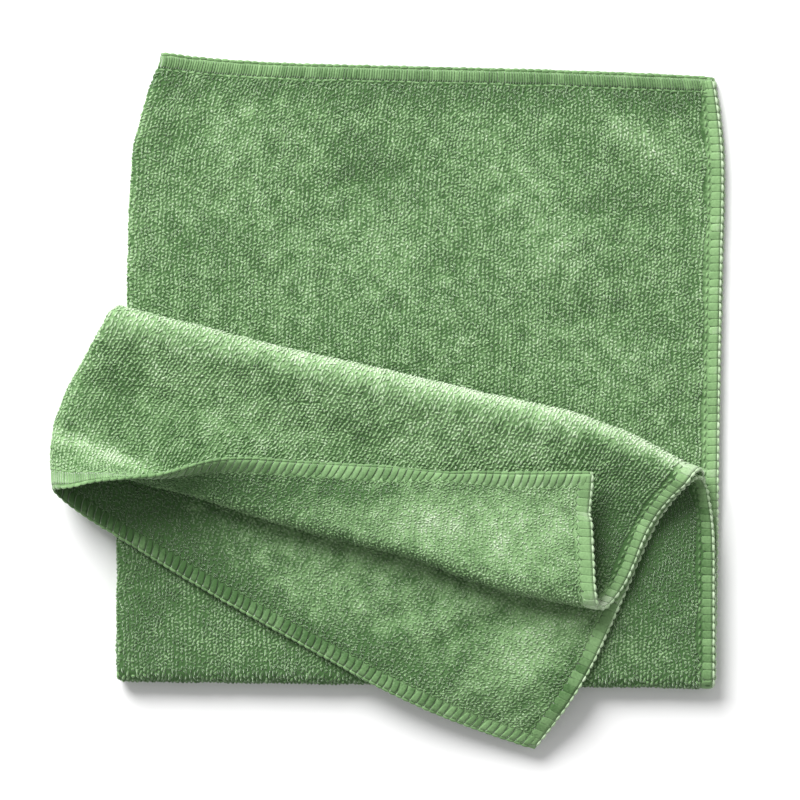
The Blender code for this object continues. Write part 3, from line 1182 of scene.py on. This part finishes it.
@dataclass(frozen=True)
class Pile(ClothPart):
    """The loops that stand on one face of the ground, in wales that run down the cloth."""

    name: str
    face: Face
    seed: int
    wale: float
    course: float
    span: tuple[float, float]
    rise: tuple[float, float]
    half_strand: tuple[float, float]
    scatter: float  # of the loops' bearings from the wale, in degrees
    lean: float  # how far a loop's crown leans over, as a share of its rise
    shift: float  # how far a loop strays from its wale, as a share of the wale
    root_depth: float
    steps: int = 4
    sides: int = 3
    stray: float = 0.25  # how far a loop strays down its wale, as a share of the course
    sway: float = 0.35  # how far the wales wander, as a share of the wale
    heading: float = 90.0  # of the loops from the across direction, in degrees
    zigzag: float = 12.0  # how far loops turn to either side by turns down a wale, in degrees
    nap: float = 0.25  # how far they all lean one way, as a share of their rise
    crown: float = 0.4  # 1 for a round arch, and less for a flatter one
    end_taper: float = 0.12  # 0 for strands with pointed ends, and more for blunter ones
    flatness: float = 0.5  # of the strand, as a share of its half width
    # Painted shade: each loop is darker towards its root, where its neighbours shade it
    root_shade: float = -0.14
    tip_tone: float = -0.01
    loop_tone: float = 0.07
    strays: Ripple = Ripple(seed=31, shortest=9 * MM, longest=26 * MM)
    lay: Ripple = Ripple(seed=32, shortest=10 * MM, longest=40 * MM)
    most: int = 190_000  # triangles a piece

    def roots(self, cloth: FoldedCloth, rng: np.random.Generator) -> tuple[Array, ...]:
        """Sets out the loops in uneven wales and courses.

        Args:
            cloth: The cloth.
            rng: Where the unevenness is drawn from.

        Returns:
            Across and down on the flat cloth, and which way each loop turns off its wale.
        """
        inside = cloth.half_width - cloth.hem_width
        wales = np.arange(-inside, inside, self.wale)
        courses = np.arange(cloth.hem_width, cloth.length - cloth.hem_width, self.course)
        across, down = np.meshgrid(wales, courses)
        down = down + self.course * (0.5 * (np.arange(len(wales)) % 2))
        across = across + self.strays.at(across, down) * self.wale * self.sway
        across = across + rng.uniform(-1, 1, across.shape) * self.wale * self.shift
        down = down + rng.uniform(-1, 1, across.shape) * self.course * self.stray
        turn = np.broadcast_to((-1.0) ** np.arange(len(courses))[:, None], across.shape)
        return across.ravel(), down.ravel(), turn.ravel()

    def loops(self, cloth: FoldedCloth, tone: PileToneAndPaintedLight, sight: Sight) -> Strands:
        """Shapes the loops that lie open.

        Args:
            cloth: The cloth.
            tone: How light they look from place to place.
            sight: Which places lie open.

        Returns:
            The loops, as arched strands.
        """
        rng = np.random.default_rng(self.seed)
        across, down, turn = self.roots(cloth, rng)
        keep = sight.open_places(across, down, self.face)
        across, down, turn = across[keep], down[keep], turn[keep]
        count = len(across)
        log.info("%s: %d loops lie open", self.name, count)
        strewn = rng.normal(0, self.scatter, count)
        bearing = np.radians(self.heading + turn * self.zigzag + strewn)
        span = rng.uniform(*self.span, count)
        rise = rng.uniform(*self.rise, count)
        strand = rng.uniform(*self.half_strand, count)
        lean = self.nap + self.lean * (rng.normal(0, 1, count) + self.lay.at(across, down))
        t = np.linspace(0, 1, self.steps)
        run = (t - 0.5) * span[:, None]
        height = rise[:, None] * np.sin(math.pi * t) ** self.crown
        way = np.stack([np.cos(bearing), np.sin(bearing)], axis=-1)
        side = np.stack([-np.sin(bearing), np.cos(bearing)], axis=-1)
        sideways = height * lean[:, None]
        flat = np.stack([across, down], axis=-1)[:, None, :]
        flat = flat + run[..., None] * way[:, None, :] + sideways[..., None] * side[:, None, :]
        depth = self.face.value * (self.root_depth + height)
        paths = np.concatenate([flat, depth[..., None]], axis=-1)
        thin = np.sqrt(np.sin(math.pi * (self.end_taper + (1 - 2 * self.end_taper) * t)))
        tones = tone.at(across, down, self.face) + rng.normal(0, self.loop_tone, count)
        # Painted shade, darker towards each loop's root
        up = height / rise[:, None]
        tones = tones[:, None] + self.root_shade + (self.tip_tone - self.root_shade) * up
        side = np.concatenate([side, np.zeros((count, 1))], axis=-1)
        half = strand[:, None] * thin
        apex = -self.face.value * math.pi / 2
        return Strands(paths, side, half, half * self.flatness, tones, self.sides, apex)

    def build(
        self, cloth: FoldedCloth, tone: PileToneAndPaintedLight, sight: Sight
    ) -> list[bpy.types.Object]:
        """Builds the loops.

        Args:
            cloth: The cloth.
            tone: How light they look from place to place.
            sight: Which places lie open.

        Returns:
            As many pieces as keep each within the most triangles a piece.
        """
        loops = self.loops(cloth, tone, sight)
        each = 2 * self.sides * (self.steps - 1) + 2 * (self.sides - 2)
        parts = math.ceil(len(loops.paths) * each / self.most)
        # Cut across the cloth, so that each piece is a band of it
        order = np.argsort(loops.paths[:, 0, 1], kind="stable")
        return [
            loops.kept(part).build(f"{self.name}_{i + 1}", cloth)
            for i, part in enumerate(np.array_split(order, parts))
        ]


@dataclass(frozen=True)
class OuterPile(Pile):
    """The outer face's loops, which stand along their wales."""

    name: str = "pile_outer"
    face: Face = Face.OUTER
    seed: int = 21
    wale: float = 1.30 * MM
    course: float = 1.15 * MM
    span: tuple[float, float] = (1.05 * MM, 1.6 * MM)
    rise: tuple[float, float] = (0.14 * MM, 0.36 * MM)
    half_strand: tuple[float, float] = (0.38 * MM, 0.52 * MM)
    scatter: float = 33.0
    lean: float = 0.40
    shift: float = 0.18
    root_depth: float = 0.66 * MM


@dataclass(frozen=True)
class InnerPile(Pile):
    """The inner face's loops, which are finer and stand across their wales."""

    name: str = "pile_inner"
    face: Face = Face.INNER
    seed: int = 22
    wale: float = 1.38 * MM
    course: float = 0.97 * MM
    span: tuple[float, float] = (0.90 * MM, 1.25 * MM)
    rise: tuple[float, float] = (0.12 * MM, 0.32 * MM)
    half_strand: tuple[float, float] = (0.32 * MM, 0.43 * MM)
    scatter: float = 48.0
    lean: float = 0.45
    shift: float = 0.32
    root_depth: float = 0.70 * MM
    stray: float = 0.38
    heading: float = 8.0
    zigzag: float = 14.0


# ---------------------------------------------------------------- the overlocked edge


class HemKind(Enum):
    """Which way a hem runs, with its place in a pair of sizes."""

    SIDE = 0
    CROSS = 1


@dataclass(frozen=True)
class Hem:
    """One edge of the flat cloth: where it starts, which way it runs and which way is inward."""

    kind: HemKind
    start: tuple[float, float]
    along: tuple[float, float]
    inward: tuple[float, float]
    length: float

    def path(self, run: Array, inside: Array, depth: Measure) -> Array:
        """Turns places along the hem into places on the flat cloth.

        Args:
            run: How far along the edge they lie.
            inside: How far inside it.
            depth: Their depth.

        Returns:
            Their across, down and depth, last.
        """
        across = self.start[0] + self.along[0] * run + self.inward[0] * inside
        down = self.start[1] + self.along[1] * run + self.inward[1] * inside
        return np.stack(np.broadcast_arrays(across, down, depth), axis=-1)


@dataclass(frozen=True)
class RibKind:
    """One kind of rib across a hem.

    Its profile runs from its inner end outwards, with the distance inside the edge, the depth and
    half the width of each step, in mm.
    """

    profile: Table
    half_height: float
    slant: float
    sides: int
    tone: float
    count: int = 1  # ribs a stitch
    spacing: float = 0.0


@dataclass(frozen=True)
class Overlock(ClothPart):
    """The overlock stitches that bind the edge: ribs over it, a chain along it, needle stitches."""

    cloth: FoldedCloth
    cloth_tone: PileToneAndPaintedLight
    pitch: float = 2.67 * MM
    seed: int = 71
    # The stitches take on the cloth's painted light and shade too
    follow: float = 0.6  # how much the stitches take on the changes of tone round them
    least_change: float = -0.27
    wander: Ripple = Ripple(seed=72, shortest=12 * MM, longest=50 * MM)
    corner_clear: float = 1.2 * MM

    # The ribs of each face and kind of hem
    outer_side_rib: RibKind = RibKind(
        profile=Table(
            inside=(3.9, 3.4, 2.4, 1.4, 0.6),
            depth=(-0.46, -0.60, -0.64, -0.62, -0.50),
            half=(0.90, 1.46, 1.74, 1.80, 1.70),
        ),
        half_height=0.17 * MM,
        slant=0.06,
        sides=6,
        tone=0.42,
    )
    outer_cross_rib: RibKind = RibKind(
        profile=Table(
            inside=(4.8, 4.0, 2.6, 1.6, 0.9),
            depth=(-0.56, -0.68, -0.72, -0.66, -0.54),
            half=(0.42, 0.52, 0.56, 0.56, 0.50),
        ),
        half_height=0.11 * MM,
        slant=0.08,
        sides=4,
        tone=0.28,
        count=3,
        spacing=0.88 * MM,
    )
    inner_side_rib: RibKind = RibKind(
        profile=Table(
            inside=(4.7, 4.0, 2.8, 1.5, 0.6),
            depth=(0.54, 0.66, 0.70, 0.66, 0.50),
            half=(1.20, 1.68, 1.86, 1.88, 1.80),
        ),
        half_height=0.09 * MM,
        slant=0.08,
        sides=6,
        tone=0.36,
    )
    inner_cross_rib: RibKind = RibKind(
        profile=Table(
            inside=(5.3, 4.3, 2.8, 1.5, 0.6),
            depth=(0.48, 0.64, 0.72, 0.70, 0.50),
            half=(0.40, 0.92, 1.20, 1.28, 1.20),
        ),
        half_height=0.16 * MM,
        slant=0.22,
        sides=6,
        tone=0.30,
    )
    rib_root: float = 2 * MM  # inside the edge, where ribs begin to differ in reach
    rib_reach_jitter: float = 0.04
    rib_slant_change: float = 0.3
    rib_fade: Table = Table(inside=(0, 1, 5), tone=(0.10, 0.06, -0.08))

    # How unevenly all of them are sewn: in place, in size and in tone
    place_jitter: float = 0.05 * MM
    size_jitter: float = 0.05
    tone_jitter: float = 0.05

    # Here and below, pairs are for side hems and for cross hems, and half lengths are shares of
    # the pitch. Needle stitches
    needle_inside: tuple[float, float] = (4.75 * MM, 5.3 * MM)
    needle_wander: float = 0.15 * MM
    needle_slant: float = 0.16 * MM
    needle_half_length: float = 0.38
    needle_half: float = 0.42 * MM
    needle_taper: float = 0.45
    needle_depth: float = 0.72 * MM
    needle_dip: float = 0.42 * MM
    needle_tone: float = 0.42

    # The chain on the inner face
    chain_inside: float = 5.25 * MM
    chain_zigzag: float = 0.5 * MM
    chain_half_length: float = 0.30
    chain_half: float = 0.24 * MM
    chain_dip: float = 0.25 * MM
    chain_tone: float = 0.34

    # Knots along the very edge
    bead_inside: float = 0.30 * MM
    bead_stand: tuple[float, float] = (0.22 * MM, 0.14 * MM)
    bead_swell: tuple[float, float] = (0.66, 0.36)
    bead_half_length: float = 0.52
    bead_half: float = 0.60 * MM
    bead_height: float = 1.25  # times its width
    # The side hems' beads are painted pale as a highlight
    bead_tone_and_highlight: tuple[float, float] = (0.74, 0.28)
    bead_place_jitter: float = 0.04 * MM
    bead_size_jitter: float = 0.06

    def hems(self) -> tuple[Hem, ...]:
        """The hems all round.

        Returns:
            The two side hems, and then the top one and the end one.
        """
        wide, long = self.cloth.half_width, self.cloth.length
        return (
            Hem(HemKind.SIDE, (wide, 0.0), (0.0, 1.0), (-1.0, 0.0), long),
            Hem(HemKind.SIDE, (-wide, long), (0.0, -1.0), (1.0, 0.0), long),
            Hem(HemKind.CROSS, (-wide, 0.0), (1.0, 0.0), (0.0, 1.0), 2 * wide),
            Hem(HemKind.CROSS, (wide, long), (-1.0, 0.0), (0.0, -1.0), 2 * wide),
        )

    def stitches(self, hem: Hem) -> Array:
        """Run along a hem of each stitch."""
        count = round((hem.length - 2 * self.corner_clear) / self.pitch)
        return self.corner_clear + (np.arange(count) + 0.5) * self.pitch

    def threads(
        self,
        paths: Array,
        way: tuple[float, float],
        halves: tuple[Array, Array],
        tone: Measure,
        sides: int,
        rng: np.random.Generator,
    ) -> Strands:
        """Strands of thread, each a little lighter or darker than the next.

        Args:
            paths: Where they run on the flat cloth.
            way: Their side direction, across and down.
            halves: Half their width and half their height at each step.
            tone: Their tone, or the tone of each step.
            sides: How many sides they have.
            rng: Where the unevenness is drawn from.

        Returns:
            The strands.
        """
        count = len(paths)
        tones = np.full(halves[0].shape, tone) + rng.normal(0, self.tone_jitter, (count, 1))
        return Strands(paths, np.tile([*way, 0.0], (count, 1)), *halves, tones, sides)

    def ribs(self, hem: Hem, kind: RibKind, rng: np.random.Generator) -> Strands:
        """Lays the ribs of one kind across a hem, slanting a little.

        Args:
            hem: The hem.
            kind: The kind of rib.
            rng: Where the unevenness is drawn from.

        Returns:
            The ribs.
        """
        at = self.stitches(hem)
        first = np.repeat(np.arange(kind.count) - (kind.count - 1) / 2, len(at))
        middle = np.tile(at, kind.count) + first * kind.spacing
        count = len(middle)
        middle = middle + rng.normal(0, self.place_jitter, count)
        inside, depth, half = (
            kind.profile.columns[name] * MM for name in ("inside", "depth", "half")
        )
        stretch = 1 + rng.normal(0, self.rib_reach_jitter, count)
        slant = kind.slant * (1 + self.rib_slant_change * self.wander.at(middle, 0 * middle))
        run = middle[:, None] + slant[:, None] * inside
        reach = np.where(inside > self.rib_root, inside * stretch[:, None], inside)
        width = half * (1 + rng.normal(0, self.size_jitter, count))[:, None]
        height = np.full(width.shape, kind.half_height)
        fade = self.rib_fade.columns
        tone = kind.tone + np.interp(inside, fade["inside"] * MM, fade["tone"])
        paths = hem.path(run, reach, depth)
        return self.threads(paths, hem.along, (width, height), tone, kind.sides, rng)

    def dashes(self, hem: Hem, rng: np.random.Generator) -> Strands:
        """Lays the needle stitches along the inside of a hem, on the outer face.

        Args:
            hem: The hem.
            rng: Where the unevenness is drawn from.

        Returns:
            The stitches.
        """
        at = self.stitches(hem)
        t = np.linspace(-1, 1, 4)
        wander = self.needle_wander * self.wander.at(at, 0 * at)
        inside = self.needle_inside[hem.kind.value] + wander
        run = at[:, None] + t * self.pitch * self.needle_half_length
        reach = inside[:, None] + t * self.needle_slant
        reach = reach + rng.normal(0, self.place_jitter, (len(at), 1))
        paths = hem.path(run, reach, self.needle_dip * t**4 - self.needle_depth)
        half = np.broadcast_to(self.needle_half * (1 - self.needle_taper * t**4), run.shape)
        return self.threads(paths, hem.inward, (half, half), self.needle_tone, 4, rng)

    def chain(self, hem: Hem, rng: np.random.Generator) -> Strands:
        """Lays the lower looper's thread in zigzags along the inside of a hem's inner face.

        Args:
            hem: The hem.
            rng: Where the unevenness is drawn from.

        Returns:
            The thread, as two strands a stitch.
        """
        at = self.stitches(hem)
        t = np.linspace(-1, 1, 4)
        way = np.repeat([-1.0, 1.0], len(at))
        middle = np.tile(at, 2) + way * self.pitch / 4
        run = middle[:, None] + t * self.pitch * self.chain_half_length
        reach = self.chain_inside + way[:, None] * t * self.chain_zigzag
        reach = reach + rng.normal(0, self.place_jitter, (len(middle), 1))
        paths = hem.path(run, reach, self.needle_depth - self.chain_dip * t**4)
        half = np.full(run.shape, self.chain_half)
        return self.threads(paths, hem.inward, (half, half), self.chain_tone, 3, rng)

    def beads(self, hem: Hem, rng: np.random.Generator) -> Strands:
        """Lays the knots of the two looper threads along the very edge, one a stitch.

        Args:
            hem: The hem.
            rng: Where the unevenness is drawn from.

        Returns:
            The knots.
        """
        at = self.stitches(hem)
        kind = hem.kind.value
        t = np.linspace(-1, 1, 5)
        arch = np.cos(t * math.pi / 2)
        run = at[:, None] + t * self.pitch * self.bead_half_length
        reach = self.bead_inside - self.bead_stand[kind] * arch
        reach = reach + rng.normal(0, self.bead_place_jitter, (len(at), 1))
        half = self.bead_half * (1 - self.bead_swell[kind] + self.bead_swell[kind] * arch)
        half = half * (1 + rng.normal(0, self.bead_size_jitter, (len(at), 1)))
        paths = hem.path(run, reach, 0.0)
        halves = (half, half * self.bead_height)
        return self.threads(paths, hem.inward, halves, self.bead_tone_and_highlight[kind], 6, rng)

    def open_strands(self, strands: Strands, sight: Sight, face: Face) -> Strands:
        """Picks the strands that aren't shut in a fold.

        Args:
            strands: The strands.
            sight: Which places lie open.
            face: The face they are on.

        Returns:
            Those that lie open, as light or dark as the cloth is there, its painted light and shade
            included.
        """
        middle = strands.paths[:, strands.paths.shape[1] // 2]
        place = self.cloth_tone.at(middle[:, 0], middle[:, 1], face) - self.cloth_tone.middle
        change = np.maximum(place * self.follow, self.least_change)
        toned = replace(strands, tone=strands.tone + change[:, None])
        return toned.kept(sight.open_places(middle[:, 0], middle[:, 1], face))

    def build(self, sight: Sight) -> list[bpy.types.Object]:
        """Builds the stitches.

        Args:
            sight: Which places lie open.

        Returns:
            A piece for each kind of thread and hem.
        """
        rng = np.random.default_rng(self.seed)
        hems = self.hems()
        ribs = (
            ("stitch_outer_side", Face.OUTER, self.outer_side_rib, hems[:2]),
            ("stitch_outer_cross", Face.OUTER, self.outer_cross_rib, hems[2:]),
            ("stitch_inner_side", Face.INNER, self.inner_side_rib, hems[:2]),
            ("stitch_inner_cross", Face.INNER, self.inner_cross_rib, hems[2:]),
        )
        kinds = [
            (name, face, [self.ribs(hem, kind, rng) for hem in some])
            for name, face, kind, some in ribs
        ]
        kinds.append(("stitch_needle", Face.OUTER, [self.dashes(hem, rng) for hem in hems]))
        kinds.append(("stitch_chain", Face.INNER, [self.chain(hem, rng) for hem in hems]))
        pieces = [
            self.open_strands(Strands.joined(parts), sight, face).build(name, self.cloth)
            for name, face, parts in kinds
        ]
        beads = Strands.joined([self.beads(hem, rng) for hem in hems])
        return pieces + [beads.build("stitch_edge", self.cloth)]


# ---------------------------------------------------------------- finishes


class Value:
    """A value socket that can stand in a Python expression, which adds Math nodes."""

    def __init__(self, canvas: "NodeCanvas", socket: bpy.types.NodeSocket) -> None:
        """Wraps a socket of the canvas's material."""
        self.canvas, self.socket = canvas, socket

    def math(self, operation: str, *others: "Input") -> "Value":
        """Adds a Math node.

        Args:
            operation: What it works out.
            others: The values after this one.

        Returns:
            Its result.
        """
        inputs = {i: item for i, item in enumerate((self, *others))}
        made = self.canvas.node("ShaderNodeMath", {"operation": operation}, inputs)
        return Value(self.canvas, made.outputs[0])

    def __add__(self, other: "Input") -> "Value":
        """self + other."""
        return self.math("ADD", other)

    __radd__ = __add__

    def __mul__(self, other: "Input") -> "Value":
        """self * other."""
        return self.math("MULTIPLY", other)

    __rmul__ = __mul__

    def __sub__(self, other: "Input") -> "Value":
        """self - other."""
        return self.math("SUBTRACT", other)

    def __rsub__(self, other: float) -> "Value":
        """other - self."""
        return (self * -1.0) + other

    def held(self) -> "Value":
        """Held between 0 and 1."""
        return self.math("MAXIMUM", 0.0).math("MINIMUM", 1.0)


Input = Union[Value, bpy.types.NodeSocket, float, tuple]


class NodeCanvas:
    """The nodes of one material."""

    def __init__(self, name: str) -> None:
        """Starts a material with a Principled BSDF alone.

        Args:
            name: The material's name.
        """
        self.material = bpy.data.materials.new(name)
        self.material.use_nodes = True
        self.tree = self.material.node_tree
        self.shader = self.tree.nodes["Principled BSDF"]

    def node(
        self, kind: str, settings: Mapping[str, Any], inputs: Mapping[Union[str, int], Input]
    ) -> bpy.types.Node:
        """Adds a node.

        Args:
            kind: Its type.
            settings: Its own settings, set first.
            inputs: A value or a link for each of its sockets, by name or number.

        Returns:
            The node.
        """
        made = self.tree.nodes.new(kind)
        for name, value in settings.items():
            setattr(made, name, value)
        for name, value in inputs.items():
            self.fill(made.inputs[name], value)
        return made

    def fill(self, socket: bpy.types.NodeSocket, value: Input) -> None:
        """Links a socket to what feeds it, or sets its own value.

        Args:
            socket: The socket.
            value: What feeds it, or its value.
        """
        if isinstance(value, Value):
            value = value.socket
        if isinstance(value, bpy.types.NodeSocket):
            self.tree.links.new(value, socket)
        else:
            socket.default_value = value

    def tone(self) -> Value:
        """The tone that each mesh carries."""
        read = self.node("ShaderNodeAttribute", {"attribute_name": "tone"}, {})
        return Value(self, read.outputs["Fac"])

    def place(self) -> bpy.types.NodeSocket:
        """Place in the part's own frame."""
        return self.node("ShaderNodeTexCoord", {}, {}).outputs["Object"]

    def flat_place(self) -> bpy.types.NodeSocket:
        """Place on the flat cloth, in mm."""
        return self.node("ShaderNodeUVMap", {"uv_map": "Cloth"}, {}).outputs["UV"]

    def noise(self, vector: Input, scale: float, detail: float = 2.0) -> Value:
        """Adds a noise.

        Args:
            vector: Where it is read.
            scale: How fine it is.
            detail: How many finer noises it has on it.

        Returns:
            The noise, about 0.5.
        """
        inputs = {"Vector": vector, "Scale": scale, "Detail": detail}
        made = self.node("ShaderNodeTexNoise", {}, inputs)
        return Value(self, made.outputs["Fac"])

    def mix(self, share: Input, first: Input, second: Input) -> bpy.types.NodeSocket:
        """Mixes two colours.

        Args:
            share: 0 for the first and 1 for the second.
            first: A colour.
            second: Another.

        Returns:
            The colour between them.
        """
        settings = {"data_type": "RGBA", "clamp_factor": True}
        made = self.node("ShaderNodeMix", settings, {0: share, 6: first, 7: second})
        return made.outputs[2]

    def bump(self, height: Value, distance: float, strength: float) -> bpy.types.NodeSocket:
        """Normal over a height."""
        inputs = {"Height": height, "Distance": distance, "Strength": strength}
        return self.node("ShaderNodeBump", {}, inputs).outputs["Normal"]


@dataclass(frozen=True)
class Microfibre:
    """Matt microfibre yarn, coloured by the tone from dark to pale, which carries painted shade in the
    hollows and painted light on the crowns.
    """

    name: str
    dark: Colour = (0.054, 0.124, 0.038, 1.0)
    middle: Colour = (0.238, 0.402, 0.178, 1.0)
    light: Colour = (0.600, 0.715, 0.525, 1.0)
    roughness: float = 0.92
    sheen: float = 0.6
    sheen_roughness: float = 0.35
    sheen_tint: Colour = (0.80, 0.92, 0.74, 1.0)
    specular: float = 0.25
    fibre_scale: float = 1500.0
    fibre_detail: float = 1.0
    fibre_change: float = 0.55

    def colour(self, canvas: NodeCanvas, tone: Value) -> bpy.types.NodeSocket:
        """Base colour for a tone: dark at 0, middle at 0.5, light at 1."""
        lower = canvas.mix((tone * 2.0).held(), self.dark, self.middle)
        return canvas.mix((tone * 2.0 - 1.0).held(), lower, self.light)

    def finish(self, canvas: NodeCanvas) -> None:
        """Sets what is the same all over.

        Args:
            canvas: The material's nodes.
        """
        shader = canvas.shader
        shader.inputs["Roughness"].default_value = self.roughness
        shader.inputs["Sheen Weight"].default_value = self.sheen
        shader.inputs["Sheen Roughness"].default_value = self.sheen_roughness
        shader.inputs["Sheen Tint"].default_value = self.sheen_tint
        shader.inputs["Specular IOR Level"].default_value = self.specular

    def material(self) -> bpy.types.Material:
        """Makes the finish.

        Returns:
            A material of yarn with fine fibres.
        """
        canvas = NodeCanvas(self.name)
        fibres = canvas.noise(canvas.place(), self.fibre_scale, self.fibre_detail)
        tone = canvas.tone() + (fibres - 0.5) * self.fibre_change
        canvas.fill(canvas.shader.inputs["Base Color"], self.colour(canvas, tone))
        self.finish(canvas)
        return canvas.material


@dataclass(frozen=True)
class KnittedGround(Microfibre):
    """The ground that shows between the loops: rows of small knitted cells, with painted shade between
    the loops and in the cells' hollows.
    """

    cell: tuple[float, float] = (1.4, 1.1)  # mm across and down
    cell_smoothness: float = 0.35
    cell_randomness: float = 0.8
    curl_scale: float = 2.2  # of the curls on the cells
    curl_share: float = 0.3
    relief: float = 0.25 * MM
    relief_middle: float = 0.55
    relief_strength: float = 0.9
    # Painted shade in the cells' hollows and painted light on their crowns
    hollow_shade: float = 0.68  # from the hollows to the crowns of the cells
    # Painted shade: the ground between the loops is darker
    ground_shade: float = -0.34

    def material(self) -> bpy.types.Material:
        """Makes the finish.

        Returns:
            A material with its own small loops in colour and bump.
        """
        canvas = NodeCanvas(self.name)
        flat = canvas.flat_place()
        stretch = (1 / self.cell[0], 1 / self.cell[1], 1.0)
        scaled = canvas.node(
            "ShaderNodeVectorMath", {"operation": "MULTIPLY"}, {0: flat, 1: stretch}
        ).outputs[0]
        cells = canvas.node(
            "ShaderNodeTexVoronoi",
            {"feature": "SMOOTH_F1"},
            {
                "Vector": scaled,
                "Scale": 1.0,
                "Smoothness": self.cell_smoothness,
                "Randomness": self.cell_randomness,
            },
        )
        height = (1.0 - Value(canvas, cells.outputs["Distance"])).held()
        curls = canvas.noise(scaled, self.curl_scale)
        relief = height * (1 - self.curl_share) + curls * self.curl_share
        # Painted shade between the loops and in the cells' hollows
        tone = canvas.tone() + self.ground_shade + (relief - self.relief_middle) * self.hollow_shade
        normal = canvas.bump(relief, self.relief, self.relief_strength)
        canvas.fill(canvas.shader.inputs["Base Color"], self.colour(canvas, tone))
        canvas.fill(canvas.shader.inputs["Normal"], normal)
        self.finish(canvas)
        return canvas.material


@dataclass(frozen=True)
class PaleFloor:
    """A plain pale surface with the faintest unevenness."""

    colour: Colour = (0.90, 0.90, 0.90, 1.0)
    shade: Colour = (0.88, 0.88, 0.88, 1.0)
    roughness: float = 0.7
    cloud_scale: float = 3.0

    def material(self) -> bpy.types.Material:
        """Makes the finish.

        Returns:
            The floor's material.
        """
        canvas = NodeCanvas("pale_floor")
        clouds = canvas.noise(canvas.place(), self.cloud_scale)
        shades = canvas.mix(clouds, self.colour, self.shade)
        canvas.fill(canvas.shader.inputs["Base Color"], shades)
        canvas.fill(canvas.shader.inputs["Roughness"], self.roughness)
        return canvas.material


# ---------------------------------------------------------------- the studio


@dataclass(frozen=True)
class Studio:
    """Pale floor, soft light from the top left and a camera that looks straight down."""

    floor_size: float = 6.0
    floor_under: float = 0.1 * MM  # how far it lies under the part's lowest level
    camera_over: tuple[float, float] = (3.85 * MM, 0.34 * MM)
    camera_height: float = 1.6
    field: float = 800 / 3 * MM  # of the surface, over the picture's width
    sensor: float = 36.0
    key_from: tuple[float, float, float] = (-0.46, 0.80, 0.74)
    key_distance: float = 2.0
    key_size: float = 1.3
    key_power: float = 70.0
    fill: float = 0.5

    def lay_floor(self) -> None:
        """A wide square floor at the part's lowest level."""
        half = self.floor_size / 2
        mesh = bpy.data.meshes.new("floor")
        corners = [(-half, -half, 0), (half, -half, 0), (half, half, 0), (-half, half, 0)]
        mesh.from_pydata(corners, [], [(0, 1, 2, 3)])
        mesh.materials.append(PaleFloor().material())
        floor = bpy.data.objects.new("floor", mesh)
        floor.location.z = CAD_BOX[0].z - self.floor_under
        bpy.context.scene.collection.objects.link(floor)

    def light(self) -> None:
        """A soft key light, and an even fill from all round."""
        scene = bpy.context.scene
        way = Vector(self.key_from).normalized()
        data = bpy.data.lights.new("key", "AREA")
        data.shape, data.size, data.energy = "DISK", self.key_size, self.key_power
        key = bpy.data.objects.new("key", data)
        key.location = way * self.key_distance
        key.rotation_euler = (-way).to_track_quat("-Z", "Y").to_euler()
        scene.collection.objects.link(key)
        world = bpy.data.worlds.new("studio")
        world.use_nodes = True
        back = world.node_tree.nodes["Background"]
        back.inputs["Color"].default_value = (1.0, 1.0, 1.0, 1.0)
        back.inputs["Strength"].default_value = self.fill
        scene.world = world
        scene.view_settings.view_transform = "Standard"

    def set_camera(self) -> None:
        """A long lens from straight above, with the top hem up."""
        scene = bpy.context.scene
        data = bpy.data.cameras.new("camera")
        data.sensor_width = self.sensor
        data.lens = self.sensor * self.camera_height / self.field
        camera = bpy.data.objects.new("camera", data)
        camera.location = (*self.camera_over, self.camera_height)
        scene.collection.objects.link(camera)
        scene.camera = camera


# ---------------------------------------------------------------- the build


def main() -> None:
    """Builds the cloth, its pile and its edge, and the studio round it."""
    studio = Studio()
    studio.set_camera()
    studio.light()
    studio.lay_floor()

    cloth = FoldedCloth()
    tone = PileToneAndPaintedLight(cloth)
    ground = Ground(cloth, tone)
    sheet = ground.build()
    outer_ground = KnittedGround("outer_ground").material()
    inner_ground = KnittedGround(
        "inner_ground", cell=(1.0, 0.9), relief=0.18 * MM, ground_shade=-0.2
    ).material()
    ground.dress([sheet], outer_ground, inner_ground)
    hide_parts("cloth")

    sight = Sight.over(cloth, sheet)
    yarn = Microfibre("pile_yarn").material()
    loops = []
    for pile in (OuterPile(), InnerPile()):
        pieces = pile.build(cloth, tone, sight)
        pile.dress(pieces, yarn)
        loops += pieces

    overlock = Overlock(cloth, tone)
    stitches = overlock.build(sight)
    thread = Microfibre("overlock_thread", fibre_change=0.3).material()
    overlock.dress(stitches, thread)
    2 * cloth.half_width
    loops + stitches


if __name__ == "__main__":
    logging.basicConfig(level=logging.INFO, format="%(name)s: %(message)s")
    main()
